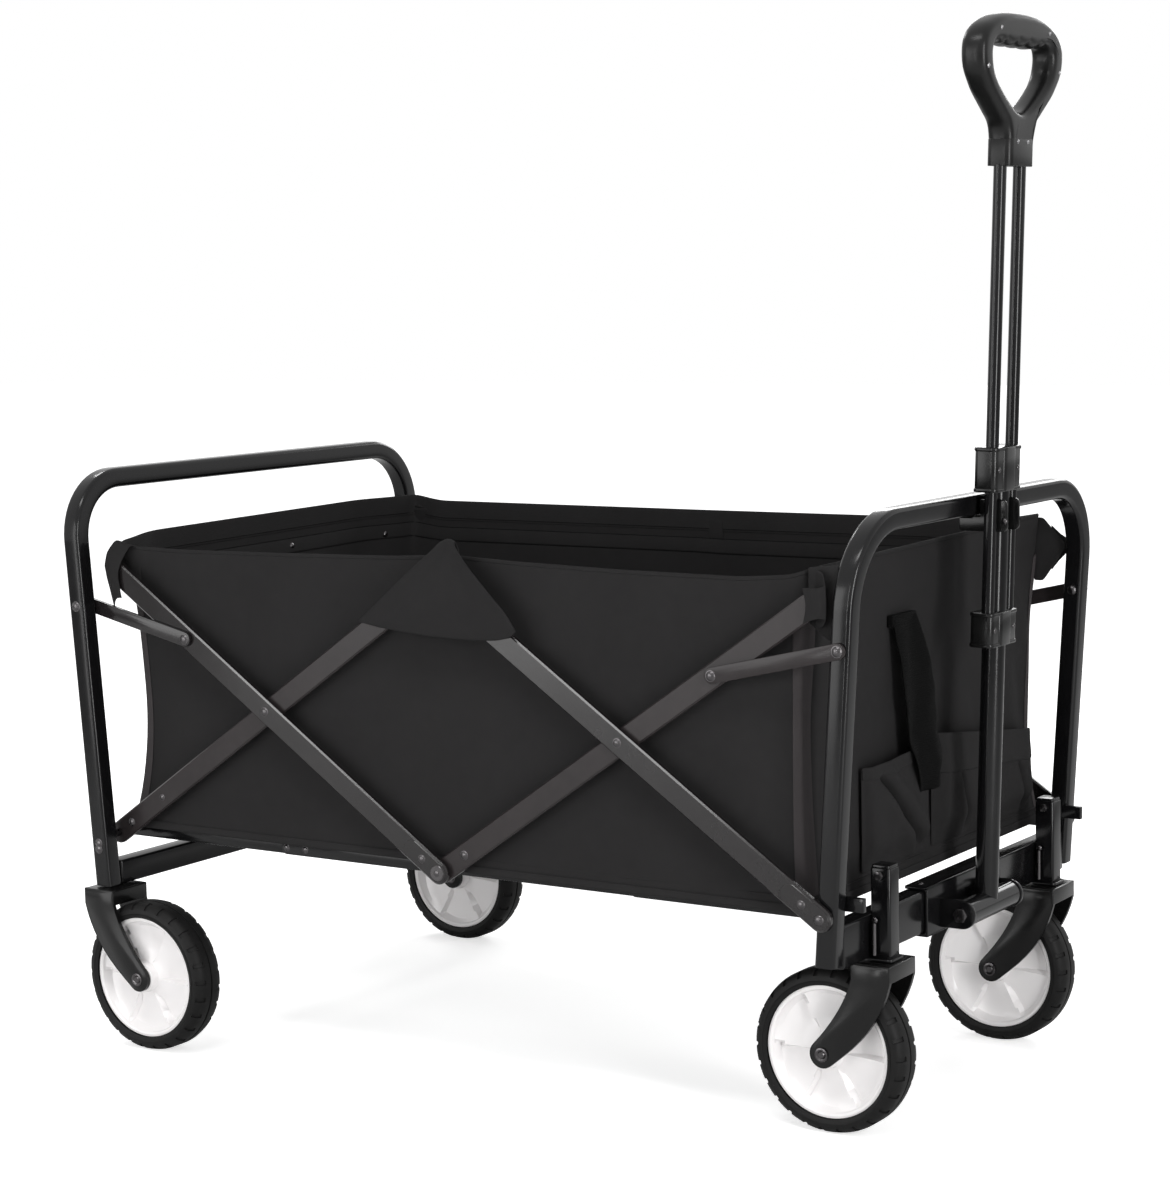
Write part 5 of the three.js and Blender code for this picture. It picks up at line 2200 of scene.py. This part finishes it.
    def limb(self) -> Shape:
        """The grip's closed limb, with finger grooves under its top.

        Returns:
            The shape.
        """
        outer, inner = self.curve(self.outer_half), self.curve(self.inner_half)
        layers = []
        for step in range(self.section + 1):
            angle = math.pi * step / self.section
            swell = math.sin(angle) ** 0.8
            depth = -self.half_depth * math.copysign(abs(math.cos(angle)) ** 0.8, math.cos(angle))
            layers.append((self.rounding * (1 - swell), depth, swell))
        shape = blank()
        rings = []
        for line, sign, order in ((outer, -1, 1), (inner, 1, -1)):
            for inset, depth, swell in layers[::order]:
                ring = []
                for y, z in self.offset(line, sign * inset):
                    if sign > 0 and z > 0.795 and abs(y) < self.groove_reach:
                        edge = smooth_step((self.groove_reach - abs(y)) / 0.008)
                        z -= self.groove * edge * swell * abs(
                            math.cos(y * math.pi / self.groove_pitch)
                        )
                    ring.append(shape.verts.new((self.rod_x + depth, y, z)))
                rings.append(ring)
        for first, second in zip(rings, rings[1:] + rings[:1]):
            for i in range(len(first)):
                shape.faces.new((first[i - 1], first[i], second[i], second[i - 1]))
        bmesh.ops.recalc_face_normals(shape, faces=shape.faces)
        return shape

    def curve(self, half: Rows) -> list[Point]:
        """A closed line through a half outline and its mirror image, in even steps.

        Args:
            half: The outline at +Y, from one end on the middle line to the other.

        Returns:
            The line, starting at its lowest point.
        """
        ring = [(-y, z) for y, z in half][::-1] + list(half)
        count = len(ring)
        line = []
        for i in range(count):
            a, b, c, d = (Vector(ring[(i + k) % count]) for k in (-1, 0, 1, 2))
            for t in (0.0, 0.2, 0.4, 0.6, 0.8):
                p = b * 2 + (c - a) * t + (a * 2 - b * 5 + c * 4 - d) * t * t
                p += (b * 3 - a - c * 3 + d) * t ** 3
                line.append(p / 2)
        low = min(range(len(line)), key=lambda i: (round(line[i].y, 5), abs(line[i].x)))
        line = line[low:] + line[:low + 1]
        ways = [0.0]
        for first, second in zip(line, line[1:]):
            ways.append(ways[-1] + (second - first).length)
        even, spot = [], 0
        for step in range(self.around):
            want = ways[-1] * step / self.around
            while ways[spot + 1] < want:
                spot += 1
            share = (want - ways[spot]) / (ways[spot + 1] - ways[spot])
            even.append(tuple(line[spot].lerp(line[spot + 1], share)))
        return even

    @staticmethod
    def offset(line: Sequence[Point], distance: float) -> list[Point]:
        """Moves a closed line that runs counter-clockwise outwards by a distance.

        Args:
            line: The line.
            distance: How far, where less than 0 is inwards.

        Returns:
            The moved line.
        """
        moved = []
        count = len(line)
        for i, (y, z) in enumerate(line):
            ahead, behind = line[(i + 1) % count], line[i - 1]
            along = Vector((ahead[0] - behind[0], ahead[1] - behind[1])).normalized()
            moved.append((y + along.y * distance, z - along.x * distance))
        return moved


# ---- setting
@dataclass(frozen=True)
class Lamp:
    """A soft area light that stands round the wagon and faces it.

    Its azimuth is in degrees from +X, its height is its middle's, its power is in watts, and its
    reach is how far it stands from the middle.
    """

    name: str
    azimuth: float
    height: float
    size: Point
    power: float
    reach: float = 2.4

    def build(self) -> None:
        """Adds the light."""
        data = bpy.data.lights.new(self.name, "AREA")
        data.shape, (data.size, data.size_y) = "RECTANGLE", self.size
        data.energy = self.power
        turn = math.radians(self.azimuth)
        place = Vector((self.reach * math.cos(turn), self.reach * math.sin(turn), self.height))
        way = Vector((0, 0, 0.4)) - place
        face = way.to_track_quat("-Z", "Y").to_matrix().to_4x4()
        add(self.name, data).matrix_world = Matrix.Translation(place) @ face


@dataclass
class Studio:
    """The camera, the light and the pale floor."""

    place: tuple[float, float, float] = (1.55455, -2.38401, 0.78928)
    yaw: float = 33.12
    pitch: float = -7.12
    roll: float = -1.17
    lens: float = 84.99
    shift: Point = (-0.01367, 0.02103)
    world_light: float = 0.33
    floor_reach: float = 14.0
    lamps: tuple[Lamp, ...] = (
        Lamp("side_strip", -92.0, 0.75, (0.11, 1.4), 8.0),
        Lamp("front_strip", -24.0, 0.75, (0.42, 1.4), 27.0),
        Lamp("key", -118.0, 0.70, (1.10, 1.3), 15.0),
        Lamp("top", -80.0, 2.60, (1.5, 0.42), 20.0, 1.44),
        Lamp("back_top", 95.0, 1.5, (2.0, 0.6), 24.0),
        Lamp("back", 155.0, 2.3, (0.45, 0.45), 10.0, 2.0),
    )

    def build(self) -> None:
        """Sets everything up."""
        self.camera()
        self.world()
        self.floor()
        for lamp in self.lamps:
            lamp.build()
        bpy.context.scene.view_settings.view_transform = "Standard"

    def camera(self) -> None:
        """The camera."""
        yaw, pitch, roll = (math.radians(a) for a in (self.yaw, self.pitch, self.roll))
        level = math.cos(pitch)
        ahead = Vector((-math.sin(yaw) * level, math.cos(yaw) * level, math.sin(pitch)))
        flat_right = Vector((math.cos(yaw), math.sin(yaw), 0))
        flat_up = flat_right.cross(ahead)
        right = flat_right * math.cos(roll) + flat_up * math.sin(roll)
        up = flat_up * math.cos(roll) - flat_right * math.sin(roll)
        data = bpy.data.cameras.new("camera")
        data.lens, data.sensor_width, data.sensor_fit = self.lens, 36.0, "AUTO"
        data.shift_x, data.shift_y = self.shift
        data.clip_end = 60.0
        camera = add("camera", data)
        turn = Matrix((right, up, -ahead)).transposed().to_4x4()
        camera.matrix_world = Matrix.Translation(self.place) @ turn
        bpy.context.scene.camera = camera

    def world(self) -> None:
        """White where it is seen or reflected, and softer as light."""
        world = bpy.data.worlds.new("studio")
        world.use_nodes = True
        bpy.context.scene.world = world
        shader = Shader(world.node_tree)
        seen, shiny, through = (
            shader.node("ShaderNodeLightPath", output=f"Is {kind} Ray")
            for kind in ("Camera", "Glossy", "Transmission")
        )
        share = (seen + shiny + through).math("MINIMUM", 1.0)
        soft, white = (
            shader.node("ShaderNodeBackground", {}, {"Color": (1, 1, 1, 1), "Strength": strength})
            for strength in (self.world_light, 1.0)
        )
        mixed = shader.node("ShaderNodeMixShader", {}, {0: share, 1: soft, 2: white})
        shader.node("ShaderNodeOutputWorld", {}, {"Surface": mixed})

    def floor(self) -> None:
        """A pale floor that keeps soft shadows, and fades to white away from the wagon."""
        shape = blank()
        bmesh.ops.create_grid(shape, x_segments=1, y_segments=1, size=self.floor_reach)
        mesh = bpy.data.meshes.new("floor")
        shape.to_mesh(mesh)
        shape.free()
        made = bpy.data.materials.new("studio_floor")
        made.use_nodes = True
        shader = Shader(made.node_tree)
        seen = shader.node("ShaderNodeLightPath", output="Is Camera Ray")
        place = shader.node("ShaderNodeTexCoord", output="Object")
        far = shader.node("ShaderNodeVectorMath", {"operation": "LENGTH"}, {0: place}, 1)
        rise = ((far - 0.7) * 0.7).math("MAXIMUM", 0.0).math("MINIMUM", 1.0)
        matt = shader.node("ShaderNodeBsdfDiffuse", {}, {"Color": (0.97, 0.97, 0.97, 1)})
        glow = {"Color": rise * 0.38 + 0.62, "Strength": 1.0}
        white = shader.node("ShaderNodeEmission", {}, glow)
        both = shader.node("ShaderNodeAddShader", {}, {0: matt, 1: white})
        mixed = shader.node("ShaderNodeMixShader", {}, {0: seen, 1: matt, 2: both})
        shader.node("ShaderNodeOutputMaterial", {}, {"Surface": mixed})
        mesh.materials.append(made)
        add("floor", mesh)


def dress_frame_parts() -> None:
    """Gives a finish to the frame's own parts that no piece stands for, the kingpins."""
    for side in Side:
        node = frame["nodes"][f"kingpin_{side.word}"]
        node.data.materials.clear()
        node.data.materials.append(ZINC.material())


def main() -> None:
    """Builds the wagon and its setting."""
    logging.basicConfig(level=logging.INFO, format="%(message)s")
    FrontFrame().build()
    RearFrame().build()
    Running().build()
    Scissors().build()
    Basket(Tub()).build()
    Handle().build()
    dress_frame_parts()
    Studio().build()
    bpy.context.view_layer.update()


if __name__ == "__main__":
    main()
